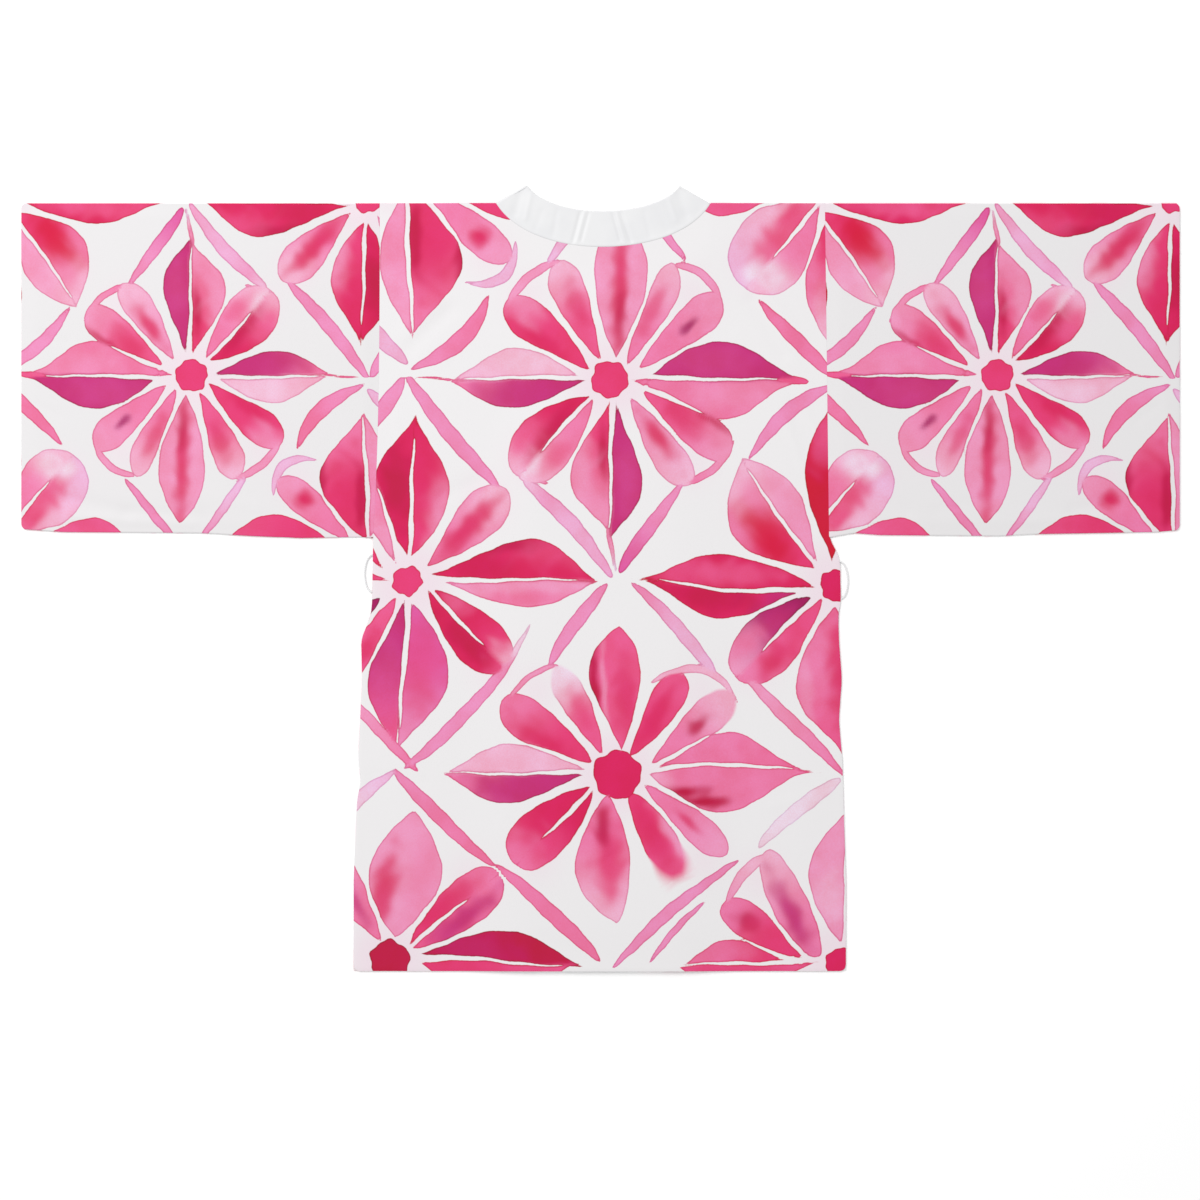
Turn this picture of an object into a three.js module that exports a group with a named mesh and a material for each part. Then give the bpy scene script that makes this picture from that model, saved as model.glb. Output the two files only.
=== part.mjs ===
// Short T-shaped kimono robe, laid flat and face down with its back upwards.
// Millimetres. +X is the wearer's right, +Y points to the neck and +Z up from the surface.
// The origin is on the surface, under the middle of the robe's outline.
import * as THREE from "three";

const { clamp, degToRad, lerp, smoothstep } = THREE.MathUtils;

// Cloth, and the clearance at seams and between layers that lie on each other
const CLOTH = 1.0;
const GAP = 0.3;
const BAND_THICK = 2.0;
const BAND_HALF = 19.7;
const BAND_SOFT_EDGE = 0.8;

// Outline from above
const SHOULDER_Y = 412.5;
const HEM_Y = -432.6;
const HEM_CORNER = 7;
const HEM_CORNER_FADE = 40;
const CUFF_X = 637.5;
const CUFF_CORNER = 6;
const FRONT_HEM_SHORT = 0.6;

// Neck and front edges: the middle line of the band
const NECK_LEFT = new THREE.Vector2(-98.4, 422.9);
const NECK_RIGHT = new THREE.Vector2(104.0, 421.9);
const NECK_MIDDLE = new THREE.Vector2(1.6, 383.9);
const NECK_ANGLE = degToRad(60);
const NECK_END_PULL = 26.4;
const NECK_MIDDLE_PULL = 49.5;
const FRONT_PAST_MIDDLE = 50.3;
const FRONT_TURN = 150;

// Heights of the layers above the surface
const LAPPED = BAND_THICK + GAP;
const LAP_SLOPE = 70;
const LAP_CLEAR = 3;
const BACK_SLOPE = 85;
const BACK_CLEAR = 4;
const BACK_LOWEST = CLOTH + GAP;
const BACK_OVER_LAP = 3.4;
const BACK_OVER_BAND = 1.8;
const BAND_REACH = 22;
const BLEND_POWER = 4;
const BAND_BELOW_BACK = (BAND_THICK - CLOTH) / 2;
const SHOULDER_ROLL = 26;
const LOFT = 0.9;
const LOFT_EDGE = 55;
const SLEEVE_LOFT_EDGE = 18;

// Thread loops at the side seams
const LOOP_RADIUS = 1.1;
const LOOP_SIDES = 8;
const LOOP_STEPS = 14;

// Steps along the pieces
const CURVE_STEPS = 13;
const STRAIGHT_STEPS = 13;
const NECK_STEPS = 48;
const NECK_COLUMN_EVERY = 2;
const FOLD_STEPS = 4;
const SHOULDER_COLUMNS = 7;
const WIDEST_ROW = 45;
const FRONT_COLUMNS = 11;
const SLEEVE_STEPS = 11;
const SLEEVE_ROWS = 11;
const CLOSER_AT_ENDS = 0.6;

// Armhole seams, from the shoulder down to the armpit
const ARMPIT_Y = 44;
const LEFT_ARMHOLE = { top: -243.0, bottom: -250.2, bend: 3 };
const RIGHT_ARMHOLE = { top: 247.0, bottom: 251.6, bend: 1 };

// Side seams, from the armpit down to the hem
const SIDE_SEAMS = [
  { y: 44, left: -250.2, right: 251.6 },
  { y: 31, left: -250.5, right: 259.0 },
  { y: 20, left: -250.7, right: 263.5 },
  { y: -24, left: -251.3, right: 264.6 },
  { y: -40, left: -252.5, right: 261.8 },
  { y: -68, left: -263.5, right: 262.4 },
  { y: -112, left: -262.4, right: 265.7 },
  { y: -156, left: -264.5, right: 262.4 },
  { y: -200, left: -266.8, right: 266.2 },
  { y: -222, left: -263.5, right: 266.8 },
  { y: -244, left: -267.9, right: 267.4 },
  { y: -332, left: -271.7, right: 270.1 },
  { y: HEM_Y, left: -271.7, right: 270.1 },
];

// Underarm edge of each sleeve, from the armhole to the cuff
const LEFT_UNDERARM = [
  { x: -250.2, y: 44.0 },
  { x: -264.6, y: 45.1 },
  { x: -330.6, y: 44.0 },
  { x: -385.6, y: 46.2 },
  { x: -440.6, y: 49.5 },
  { x: -594.6, y: 50.6 },
  { x: -637.5, y: 53.5 },
];
const RIGHT_UNDERARM = [
  { x: 251.6, y: 44.5 },
  { x: 280.0, y: 49.5 },
  { x: 307.5, y: 47.3 },
  { x: 439.5, y: 46.2 },
  { x: 483.5, y: 48.4 },
  { x: 615.5, y: 50.6 },
  { x: 637.5, y: 52.5 },
];

// Largest creases: soft troughs and ridges from one end to the other
const CREASES = [
  { x0: 166, y0: 304, x1: 202, y1: 247, wide: 9, rise: -0.8 },
  { x0: 184, y0: 312, x1: 218, y1: 262, wide: 10, rise: 0.9 },
  { x0: 213, y0: 188, x1: 234, y1: 136, wide: 9, rise: -0.7 },
  { x0: -166, y0: 294, x1: -212, y1: 252, wide: 9, rise: -0.8 },
  { x0: -180, y0: 305, x1: -226, y1: 262, wide: 10, rise: 0.8 },
  { x0: -168, y0: 93, x1: -128, y1: 110, wide: 9, rise: -0.6 },
  { x0: -596, y0: 90, x1: -522, y1: 72, wide: 9, rise: -0.8 },
  { x0: -522, y0: 72, x1: -436, y1: 68, wide: 9, rise: -0.7 },
  { x0: -580, y0: 66, x1: -450, y1: 56, wide: 8, rise: 0.8 },
  { x0: 584, y0: 88, x1: 520, y1: 74, wide: 9, rise: -0.7 },
  { x0: 336, y0: 74, x1: 300, y1: 96, wide: 9, rise: -0.6 },
];

// Creases across the neckband, by place along X behind the neck
const BAND_CREASES = [
  { x: -24, wide: 3.4, deep: 0.7 },
  { x: -15, wide: 3.0, deep: 0.6 },
  { x: 16, wide: 3.0, deep: 0.6 },
  { x: 28, wide: 3.6, deep: 0.8 },
  { x: -80, wide: 6.0, deep: 0.7 },
  { x: 87, wide: 6.0, deep: 0.7 },
];

// Thread loops: where the two ends meet the side seam, and how far the loop stands out
const LEFT_LOOP = { sign: -1, top: 25.3, bottom: -15.4, out: 8.4 };
const RIGHT_LOOP = { sign: 1, top: 18.0, bottom: -22.6, out: 8.4 };

const CLOTH_FINISH = { color: "#eeb9cd", roughness: 0.62, metalness: 0 };
const BAND_FINISH = { color: "#f4f4f4", roughness: 0.4, metalness: 0 };
const THREAD_FINISH = { color: "#f6f6f6", roughness: 0.8, metalness: 0 };

// Value of column `want` where column `by` of a table equals `at`, in straight steps.
function readTable(table, by, want, at) {
  const up = table[0][by] < table[table.length - 1][by];
  const rows = up ? table : [...table].reverse();
  let k = 0;
  while (k < rows.length - 2 && rows[k + 1][by] < at) k += 1;
  const share = (at - rows[k][by]) / (rows[k + 1][by] - rows[k][by]);
  return lerp(rows[k][want], rows[k + 1][want], clamp(share, 0, 1));
}

// X of the body's side at a height: its armhole seam, or its side seam under the armpit.
function sideX(sign, y) {
  if (y < ARMPIT_Y) return readTable(SIDE_SEAMS, "y", sign < 0 ? "left" : "right", y);
  const { top, bottom, bend } = sign < 0 ? LEFT_ARMHOLE : RIGHT_ARMHOLE;
  return lerp(top, bottom, clamp((SHOULDER_Y - y) / (SHOULDER_Y - ARMPIT_Y), 0, 1) ** bend);
}

// Closed solid from its vertices and faces, turned to face outwards.
function solidFrom(vertices, faces) {
  const geometry = new THREE.BufferGeometry();
  const flat = vertices.flatMap((point) => [point.x, point.y, point.z]);
  geometry.setAttribute("position", new THREE.Float32BufferAttribute(flat, 3));
  const turned = signedVolume(vertices, faces) < 0 ? faces.map(([a, b, c]) => [a, c, b]) : faces;
  geometry.setIndex(turned.flat());
  geometry.computeVertexNormals();
  return geometry;
}

// Volume inside the faces, negative where they face inwards.
function signedVolume(vertices, faces) {
  const across = new THREE.Vector3();
  return faces.reduce((sum, [a, b, c]) => {
    across.crossVectors(vertices[b], vertices[c]);
    return sum + vertices[a].dot(across) / 6;
  }, 0);
}

// Two triangles over four vertices.
function quad(a, b, c, d) {
  return [
    [a, b, c],
    [a, c, d],
  ];
}

// A panel: one cloth wall over a grid of { x, y, under } points, closed round its edges.
function panel(grid) {
  const rows = grid.length;
  const columns = grid[0].length;
  const flat = grid.flat();
  const vertices = [
    ...flat.map((p) => new THREE.Vector3(p.x, p.y, p.under)),
    ...flat.map((p) => new THREE.Vector3(p.x, p.y, p.under + CLOTH)),
  ];
  const low = (r, c) => r * columns + c;
  const high = (r, c) => low(r, c) + rows * columns;
  const faces = [];
  for (let r = 0; r < rows - 1; r += 1) {
    for (let c = 0; c < columns - 1; c += 1) {
      faces.push(...quad(high(r, c), high(r, c + 1), high(r + 1, c + 1), high(r + 1, c)));
      faces.push(...quad(low(r, c), low(r + 1, c), low(r + 1, c + 1), low(r, c + 1)));
    }
  }
  for (let c = 0; c < columns - 1; c += 1) {
    const last = rows - 1;
    faces.push(...quad(low(0, c), low(0, c + 1), high(0, c + 1), high(0, c)));
    faces.push(...quad(low(last, c + 1), low(last, c), high(last, c), high(last, c + 1)));
  }
  for (let r = 0; r < rows - 1; r += 1) {
    const last = columns - 1;
    faces.push(...quad(low(r + 1, 0), low(r, 0), high(r, 0), high(r + 1, 0)));
    faces.push(...quad(low(r, last), low(r + 1, last), high(r + 1, last), high(r, last)));
  }
  return solidFrom(vertices, faces);
}

// Faces that join a row of rings, each ring a closed loop of `size` vertices from `first`.
function ringFaces(rings, size, first, inward) {
  const faces = [];
  for (let r = 0; r < rings - 1; r += 1) {
    for (let k = 0; k < size; k += 1) {
      const a = first + r * size + k;
      const b = first + r * size + ((k + 1) % size);
      const pair = quad(a, b, b + size, a + size);
      faces.push(...(inward ? pair.map(([p, q, s]) => [p, s, q]) : pair));
    }
  }
  return faces;
}

// A strip or thread: rings of section points one after another, with a flat cap at each end.
function strip(rings) {
  const size = rings[0].length;
  const last = (rings.length - 1) * size;
  const faces = ringFaces(rings.length, size, 0, false);
  for (let k = 1; k < size - 1; k += 1) {
    faces.push([0, k + 1, k], [last, last + k, last + k + 1]);
  }
  return solidFrom(rings.flat(), faces);
}

// A tube of cloth: outer and inner rings, joined by a rim at each open end.
function tube(outer, inner) {
  const size = outer[0].length;
  const rings = outer.length;
  const innerFirst = rings * size;
  const faces = [...ringFaces(rings, size, 0, false), ...ringFaces(rings, size, innerFirst, true)];
  const last = (rings - 1) * size;
  for (let k = 0; k < size; k += 1) {
    const next = (k + 1) % size;
    faces.push(...quad(k, innerFirst + k, innerFirst + next, next));
    faces.push(...quad(last + next, innerFirst + last + next, innerFirst + last + k, last + k));
  }
  return solidFrom([...outer.flat(), ...inner.flat()], faces);
}

// Rise or fall of the cloth at a point from the creases in the table.
function creaseAt(x, y) {
  let rise = 0;
  for (const crease of CREASES) {
    const runX = crease.x1 - crease.x0;
    const runY = crease.y1 - crease.y0;
    const length = Math.hypot(runX, runY);
    const along = ((x - crease.x0) * runX + (y - crease.y0) * runY) / length ** 2;
    const near = clamp(along, 0, 1);
    const off = Math.hypot(x - crease.x0 - near * runX, y - crease.y0 - near * runY);
    rise += crease.rise * Math.exp(-((off / crease.wide) ** 2));
  }
  return rise;
}

// Stations of the band's middle line down one front, each with its direction of travel.
function frontStations(neck, sign) {
  const lineX = -sign * FRONT_PAST_MIDDLE;
  const cornerY = neck.y - Math.abs(lineX - neck.x) * Math.tan(NECK_ANGLE);
  const corner = new THREE.Vector2(lineX, cornerY);
  const turned = new THREE.Vector2(lineX, cornerY - FRONT_TURN);
  const hem = new THREE.Vector2(lineX, HEM_Y + FRONT_HEM_SHORT);
  const curve = new THREE.QuadraticBezierCurve(neck, corner, turned);
  const straight = new THREE.LineCurve(turned, hem);
  const stations = [];
  for (let k = 0; k < CURVE_STEPS; k += 1) {
    const at = k / CURVE_STEPS;
    stations.push({ middle: curve.getPointAt(at), travel: curve.getTangentAt(at) });
  }
  for (let k = 0; k <= STRAIGHT_STEPS; k += 1) {
    const at = k / STRAIGHT_STEPS;
    stations.push({ middle: straight.getPointAt(at), travel: new THREE.Vector2(0, -1) });
  }
  return stations;
}

// Stations behind the neck, from the wearer's left shoulder to the right one.
function neckStations() {
  const down = new THREE.Vector2(Math.cos(NECK_ANGLE), -Math.sin(NECK_ANGLE));
  const up = new THREE.Vector2(down.x, -down.y);
  const level = new THREE.Vector2(NECK_MIDDLE_PULL, 0);
  const halves = [
    new THREE.CubicBezierCurve(
      NECK_LEFT,
      NECK_LEFT.clone().addScaledVector(down, NECK_END_PULL),
      NECK_MIDDLE.clone().sub(level),
      NECK_MIDDLE,
    ),
    new THREE.CubicBezierCurve(
      NECK_MIDDLE,
      NECK_MIDDLE.clone().add(level),
      NECK_RIGHT.clone().addScaledVector(up, -NECK_END_PULL),
      NECK_RIGHT,
    ),
  ];
  const stations = [];
  for (let k = 0; k <= NECK_STEPS; k += 1) {
    const at = (2 * k) / NECK_STEPS;
    const half = at < 1 ? 0 : 1;
    const middle = halves[half].getPointAt(at - half);
    stations.push({ middle, travel: halves[half].getTangentAt(at - half) });
  }
  return stations;
}

// Point beside a station: `side` mm to the left of its direction of travel.
function beside(station, side) {
  const x = station.middle.x - station.travel.y * side;
  return new THREE.Vector2(x, station.middle.y + station.travel.x * side);
}

const FRONTS = {
  left: { stations: frontStations(NECK_LEFT, -1), sign: -1 },
  right: { stations: frontStations(NECK_RIGHT, 1), sign: 1 },
};
for (const front of Object.values(FRONTS)) {
  // Travelling down, the free edge lies to the left on the wearer's left front.
  front.free = front.stations.map((station) => beside(station, -front.sign * BAND_HALF));
  front.middle = front.stations.map((station) => station.middle);
  front.seam = front.stations.map((station) => beside(station, front.sign * (BAND_HALF + GAP)));
}

// Underside of the right front, which laps over the left front and its band.
function rightFrontUnder(x, y) {
  const past = x - readTable(FRONTS.left.free, "y", "x", y);
  return LAPPED * (1 - smoothstep(past, LAP_CLEAR, LAP_CLEAR + LAP_SLOPE));
}

// Underside of the back before creases, which clears the fronts and their bands.
function backUnder(x, y) {
  const pastLeft = x - readTable(FRONTS.left.free, "y", "x", y);
  const pastRight = readTable(FRONTS.right.free, "y", "x", y) - x;
  const overLeft = 1 - smoothstep(pastLeft, BACK_CLEAR, BACK_CLEAR + BACK_SLOPE);
  const overRight = 1 - smoothstep(pastRight, BACK_CLEAR, BACK_CLEAR + BACK_SLOPE);
  const nearBand = [FRONTS.left, FRONTS.right].map((front) => {
    const off = Math.abs(x - readTable(front.middle, "y", "x", y));
    return BACK_OVER_BAND * (1 - smoothstep(off, BAND_REACH, BAND_REACH + BACK_SLOPE));
  });
  const lifts = [BACK_OVER_LAP * overLeft * overRight, ...nearBand];
  const blended = lifts.reduce((sum, lift) => sum + lift ** BLEND_POWER, 0);
  return BACK_LOWEST + blended ** (1 / BLEND_POWER);
}

// Underside of the back, lofted and creased away from its seams.
function backUnderLofted(x, y, topY) {
  const fromLeft = x - sideX(-1, y);
  const fromRight = sideX(1, y) - x;
  const side = smoothstep(Math.min(fromLeft, fromRight), 0, LOFT_EDGE);
  const ends = smoothstep(topY - y, 0, LOFT_EDGE) * smoothstep(y - HEM_Y, 0, LOFT_EDGE);
  const soft = side * ends;
  return backUnder(x, y) + soft * (LOFT + creaseAt(x, y));
}

// How far the hem's rounded corner lifts a point that is `inset` from the side.
function hemLift(inset, height) {
  const into = clamp(HEM_CORNER - inset, 0, HEM_CORNER);
  const lift = HEM_CORNER - Math.sqrt(HEM_CORNER ** 2 - into ** 2);
  return lift * (1 - clamp((height - HEM_Y) / HEM_CORNER_FADE, 0, 1));
}

// Even spacing from 0 to 1, closer together towards both ends.
function easedShare(step, steps) {
  const even = step / steps;
  return lerp(even, (1 - Math.cos(Math.PI * even)) / 2, CLOSER_AT_ENDS);
}

// Heights of a panel's rows, from the hem to the armpit and on to the shoulder.
function rowHeights() {
  const bends = SIDE_SEAMS.map(({ y }) => y).reverse();
  const heights = [];
  for (let k = 0; k < bends.length - 1; k += 1) {
    const parts = Math.ceil((bends[k + 1] - bends[k]) / WIDEST_ROW);
    for (let part = 0; part < parts; part += 1) {
      heights.push(lerp(bends[k], bends[k + 1], part / parts));
    }
  }
  for (let r = 0; r <= SLEEVE_ROWS; r += 1) {
    heights.push(lerp(ARMPIT_Y, SHOULDER_Y, easedShare(r, SLEEVE_ROWS)));
  }
  return heights;
}

// Tops of the back's columns: left shoulder, neck edge, right shoulder.
function backTops() {
  const neck = neckStations().filter((_, k) => k % NECK_COLUMN_EVERY === 0);
  const neckTops = neck.map((station) => beside(station, -(BAND_HALF + GAP)));
  const first = neckTops[0];
  const last = neckTops[neckTops.length - 1];
  const shares = [];
  for (let k = 0; k < SHOULDER_COLUMNS; k += 1) shares.push(easedShare(k, SHOULDER_COLUMNS));
  const leftX = LEFT_ARMHOLE.top + GAP / 2;
  const rightX = RIGHT_ARMHOLE.top - GAP / 2;
  return [
    ...shares.map((share) => new THREE.Vector2(lerp(leftX, first.x, share), SHOULDER_Y)),
    ...neckTops,
    ...shares.reverse().map((share) => new THREE.Vector2(lerp(rightX, last.x, share), SHOULDER_Y)),
  ];
}

function makeBack() {
  const edges = (y) => [sideX(-1, y) + GAP / 2, sideX(1, y) - GAP / 2];
  const tops = backTops().map((top) => {
    const [left, right] = edges(top.y);
    return { y: top.y, share: (top.x - left) / (right - left) };
  });
  const [hemLeft, hemRight] = edges(HEM_Y);
  const grid = rowHeights().map((height) => {
    const up = (height - HEM_Y) / (SHOULDER_Y - HEM_Y);
    return tops.map(({ y: topY, share }) => {
      const inset = Math.min(share, 1 - share) * (hemRight - hemLeft);
      const y = lerp(HEM_Y, topY, up) + hemLift(inset, height);
      const x = lerp(...edges(y), share);
      return { x, y, under: backUnderLofted(x, y, topY) };
    });
  });
  return panel(grid);
}

// One front panel, from its side seam to its band. At the shoulder it rolls up to the back.
function makeFront(front, underAt) {
  const grid = rowHeights().map((height) => {
    const y = Math.max(height, HEM_Y + FRONT_HEM_SHORT);
    const outerX = sideX(front.sign, y) - (front.sign * GAP) / 2;
    const innerX = readTable(front.seam, "y", "x", y);
    const rolled = smoothstep(y, SHOULDER_Y - SHOULDER_ROLL, SHOULDER_Y);
    const row = [];
    for (let c = 0; c <= FRONT_COLUMNS; c += 1) {
      const x = lerp(outerX, innerX, easedShare(c, FRONT_COLUMNS));
      const toBack = backUnder(x, SHOULDER_Y) - BACK_LOWEST;
      row.push({ x, y, under: underAt(x, y) + rolled * toBack });
    }
    return row;
  });
  return panel(grid);
}

// Section of the band: `across` points to its free edge and `out` from its inner to its outer face.
function bandSection(middle, across, out, dent) {
  const half = BAND_THICK / 2;
  const flatHalf = BAND_HALF - BAND_SOFT_EDGE;
  const shape = [
    [BAND_HALF, 0],
    [flatHalf, half],
    [0, half - dent],
    [-flatHalf, half],
    [-BAND_HALF, 0],
    [-flatHalf, -half],
    [0, -half],
    [flatHalf, -half],
  ];
  return shape.map(([side, thick]) => {
    return middle.clone().addScaledVector(across, side).addScaledVector(out, thick);
  });
}

// Band down one front, from the shoulder to the hem, its outer face on the surface.
function bandOnFront(front, underAt) {
  const down = new THREE.Vector3(0, 0, -1);
  return front.stations.slice(1).map((station) => {
    const toFree = beside(station, -front.sign).sub(station.middle);
    const middle = new THREE.Vector3(station.middle.x, station.middle.y, BAND_THICK / 2);
    const ring = bandSection(middle, new THREE.Vector3(toFree.x, toFree.y, 0), down, 0);
    for (const point of ring) point.z += underAt(point.x, point.y);
    return ring;
  });
}

// Middle height of the band where it joins the back's neck edge.
function bandOnBackZ(station) {
  const seam = beside(station, -(BAND_HALF + GAP));
  return backUnder(seam.x, seam.y) - BAND_BELOW_BACK + BAND_THICK / 2;
}

// Band behind the neck, with the soft creases that cross it.
function bandBehindNeck(stations) {
  const up = new THREE.Vector3(0, 0, 1);
  return stations.map((station) => {
    const toFree = beside(station, 1).sub(station.middle);
    const middle = new THREE.Vector3(station.middle.x, station.middle.y, bandOnBackZ(station));
    const dent = BAND_CREASES.reduce((sum, crease) => {
      return sum + crease.deep * Math.exp(-(((station.middle.x - crease.x) / crease.wide) ** 2));
    }, 0);
    return bandSection(middle, new THREE.Vector3(toFree.x, toFree.y, 0), up, dent);
  });
}

// Fold of the band over a shoulder, from its layer on the front up to its layer on the back.
function bandFold(station, outward, toFree) {
  const lowZ = BAND_THICK / 2;
  const radius = (bandOnBackZ(station) - lowZ) / 2;
  const reach = radius + lowZ;
  const pivotX = station.middle.x - outward.x * reach;
  const pivotY = station.middle.y - outward.y * reach;
  const pivot = new THREE.Vector3(pivotX, pivotY, lowZ + radius);
  const across = new THREE.Vector3(toFree.x, toFree.y, 0);
  const rings = [];
  for (let k = 0; k <= FOLD_STEPS; k += 1) {
    const turn = (Math.PI * k) / FOLD_STEPS;
    const flatOut = Math.sin(turn);
    const out = new THREE.Vector3(outward.x * flatOut, outward.y * flatOut, -Math.cos(turn));
    rings.push(bandSection(pivot.clone().addScaledVector(out, radius), across, out, 0));
  }
  return rings;
}

// One band: up the left front, round behind the neck and down the right front.
function makeNeckband() {
  const neck = neckStations();
  const first = neck[0];
  const last = neck[NECK_STEPS];
  const leftFree = beside(first, 1).sub(first.middle);
  const rightFree = beside(last, 1).sub(last.middle);
  return strip([
    ...bandOnFront(FRONTS.left, () => 0).reverse(),
    ...bandFold(first, first.travel.clone().negate(), leftFree),
    ...bandBehindNeck(neck.slice(1, -1)),
    ...bandFold(last, last.travel, rightFree).reverse(),
    ...bandOnFront(FRONTS.right, rightFrontUnder),
  ]);
}

// Middle line of a sleeve's cloth round its section, each point with its outward direction.
// Upper layer from the top fold to the underarm, then back along the lower layer.
function sleeveLoop() {
  const between = CLOTH + GAP;
  const foldRadius = between / 2;
  const loop = [];
  for (let k = 0; k <= SLEEVE_ROWS; k += 1) {
    const down = easedShare(k, SLEEVE_ROWS);
    loop.push({ down, shift: 0, height: between, out: [0, 1], upper: true });
  }
  loop.push({ down: 1, shift: -foldRadius, height: foldRadius, out: [-1, 0], upper: false });
  for (let k = SLEEVE_ROWS; k >= 0; k -= 1) {
    const down = easedShare(k, SLEEVE_ROWS);
    loop.push({ down, shift: 0, height: 0, out: [0, -1], upper: false });
  }
  loop.push({ down: 0, shift: foldRadius, height: foldRadius, out: [1, 0], upper: false });
  return loop;
}

// X of a sleeve's cuff at a height on the sleeve, rounded at its two corners.
function cuffAt(y, bottomY) {
  const inset = Math.min(y - bottomY, SHOULDER_Y - y);
  const into = clamp(CUFF_CORNER - inset, 0, CUFF_CORNER);
  return CUFF_X - CUFF_CORNER + Math.sqrt(CUFF_CORNER ** 2 - into ** 2);
}

// One sleeve: a flat tube, open at the armhole and at the cuff.
function makeSleeve(underarm, sign) {
  const loop = sleeveLoop();
  const edge = CLOTH / 2 + (CLOTH + GAP) / 2;
  const rings = { outer: [], inner: [] };
  for (let s = 0; s <= SLEEVE_STEPS; s += 1) {
    const along = easedShare(s, SLEEVE_STEPS);
    const roughX = lerp(sideX(sign, ARMPIT_Y), sign * CUFF_X, along);
    const bottomY = readTable(underarm, "x", "y", roughX);
    const ring = { outer: [], inner: [] };
    for (const { down, shift, height, out, upper } of loop) {
      const middleY = lerp(SHOULDER_Y - edge, bottomY + edge, down) + shift;
      const seamX = sideX(sign, middleY) + (sign * GAP) / 2;
      const x = lerp(seamX, sign * cuffAt(middleY, bottomY), along);
      const fromEdge = Math.min(SHOULDER_Y - middleY, middleY - bottomY);
      const fromEnds = Math.min(Math.abs(x - seamX), CUFF_X - Math.abs(x));
      const soft = smoothstep(fromEdge, 0, SLEEVE_LOFT_EDGE) * smoothstep(fromEnds, 0, SLEEVE_LOFT_EDGE);
      const loft = upper ? soft * (LOFT + creaseAt(x, middleY)) : 0;
      for (const [name, face] of [["outer", 1], ["inner", -1]]) {
        const y = middleY + (out[0] * face * CLOTH) / 2;
        const z = CLOTH / 2 + height + loft + (out[1] * face * CLOTH) / 2;
        ring[name].push(new THREE.Vector3(x, y, z));
      }
    }
    rings.outer.push(ring.outer);
    rings.inner.push(ring.inner);
  }
  return tube(rings.outer, rings.inner);
}

// One thread loop, standing out from the side seam in the plane of the cloth.
function makeLoop({ sign, top, bottom, out }) {
  const rings = [];
  const middleY = (top + bottom) / 2;
  const halfTall = (top - bottom) / 2;
  for (let k = 0; k <= LOOP_STEPS; k += 1) {
    const turn = (Math.PI * k) / LOOP_STEPS;
    const y = middleY + halfTall * Math.cos(turn);
    const seamX = lerp(sideX(sign, top), sideX(sign, bottom), k / LOOP_STEPS);
    const x = seamX + sign * (GAP + out * Math.sin(turn));
    const outward = new THREE.Vector2(sign * halfTall * Math.sin(turn), out * Math.cos(turn)).normalize();
    const ring = [];
    for (let side = 0; side < LOOP_SIDES; side += 1) {
      const round = ((side + 0.5) * 2 * Math.PI) / LOOP_SIDES;
      const flat = LOOP_RADIUS * Math.cos(round);
      const z = LOOP_RADIUS + LOOP_RADIUS * Math.sin(round);
      ring.push(new THREE.Vector3(x + outward.x * flat, y + outward.y * flat, z));
    }
    rings.push(ring);
  }
  return strip(rings);
}

function named(name, geometry, finish) {
  const mesh = new THREE.Mesh(geometry, new THREE.MeshStandardMaterial(finish));
  mesh.name = name;
  return mesh;
}

const robe = new THREE.Group();
robe.add(
  named("back", makeBack(), CLOTH_FINISH),
  named("front_left", makeFront(FRONTS.left, () => 0), CLOTH_FINISH),
  named("front_right", makeFront(FRONTS.right, rightFrontUnder), CLOTH_FINISH),
  named("sleeve_left", makeSleeve(LEFT_UNDERARM, -1), CLOTH_FINISH),
  named("sleeve_right", makeSleeve(RIGHT_UNDERARM, 1), CLOTH_FINISH),
  named("neckband", makeNeckband(), BAND_FINISH),
  named("belt_loop_left", makeLoop(LEFT_LOOP), THREAD_FINISH),
  named("belt_loop_right", makeLoop(RIGHT_LOOP), THREAD_FINISH),
);

export default robe;
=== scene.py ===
"""Short T-shaped kimono robe, laid flat and face down, in white satin with a flower print.

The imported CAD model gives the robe's size and place. Its cloth panels, neckband and belt loops
become thin fine shells here, with soft creases, a watercolour print and twisted thread.
"""

import logging
import math
from collections.abc import Sequence
from dataclasses import dataclass, field
from enum import Enum

import bpy
import numpy as np
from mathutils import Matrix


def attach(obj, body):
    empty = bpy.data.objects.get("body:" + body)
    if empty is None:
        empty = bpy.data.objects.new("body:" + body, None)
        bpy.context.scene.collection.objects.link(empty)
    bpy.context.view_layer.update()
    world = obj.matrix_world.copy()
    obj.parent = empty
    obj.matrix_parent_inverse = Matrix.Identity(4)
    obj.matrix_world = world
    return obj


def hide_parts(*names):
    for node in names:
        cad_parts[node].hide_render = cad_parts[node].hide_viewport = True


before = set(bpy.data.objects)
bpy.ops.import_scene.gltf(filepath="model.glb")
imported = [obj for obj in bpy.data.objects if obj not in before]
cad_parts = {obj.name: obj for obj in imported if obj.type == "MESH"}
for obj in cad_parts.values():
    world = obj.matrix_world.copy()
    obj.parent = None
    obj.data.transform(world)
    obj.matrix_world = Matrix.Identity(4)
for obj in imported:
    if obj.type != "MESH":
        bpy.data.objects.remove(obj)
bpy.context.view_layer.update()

LOG = logging.getLogger("robe")
Socket = bpy.types.NodeSocket
MM = 0.001
SRGB_TOE, SRGB_SLOPE, SRGB_OFFSET, SRGB_POWER = 0.04045, 12.92, 0.055, 2.4
CURVE_STEPS = 2000
CURVE_NUDGE = 1e-4
BODY = "root"


class Slot(Enum):
    """The record's material slots."""

    PRINTED_CLOTH = "printed_cloth"
    SLEEVE_CLOTH = "sleeve_cloth"
    BAND_SATIN = "band_satin"
    LOOP_THREAD = "loop_thread"


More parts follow.
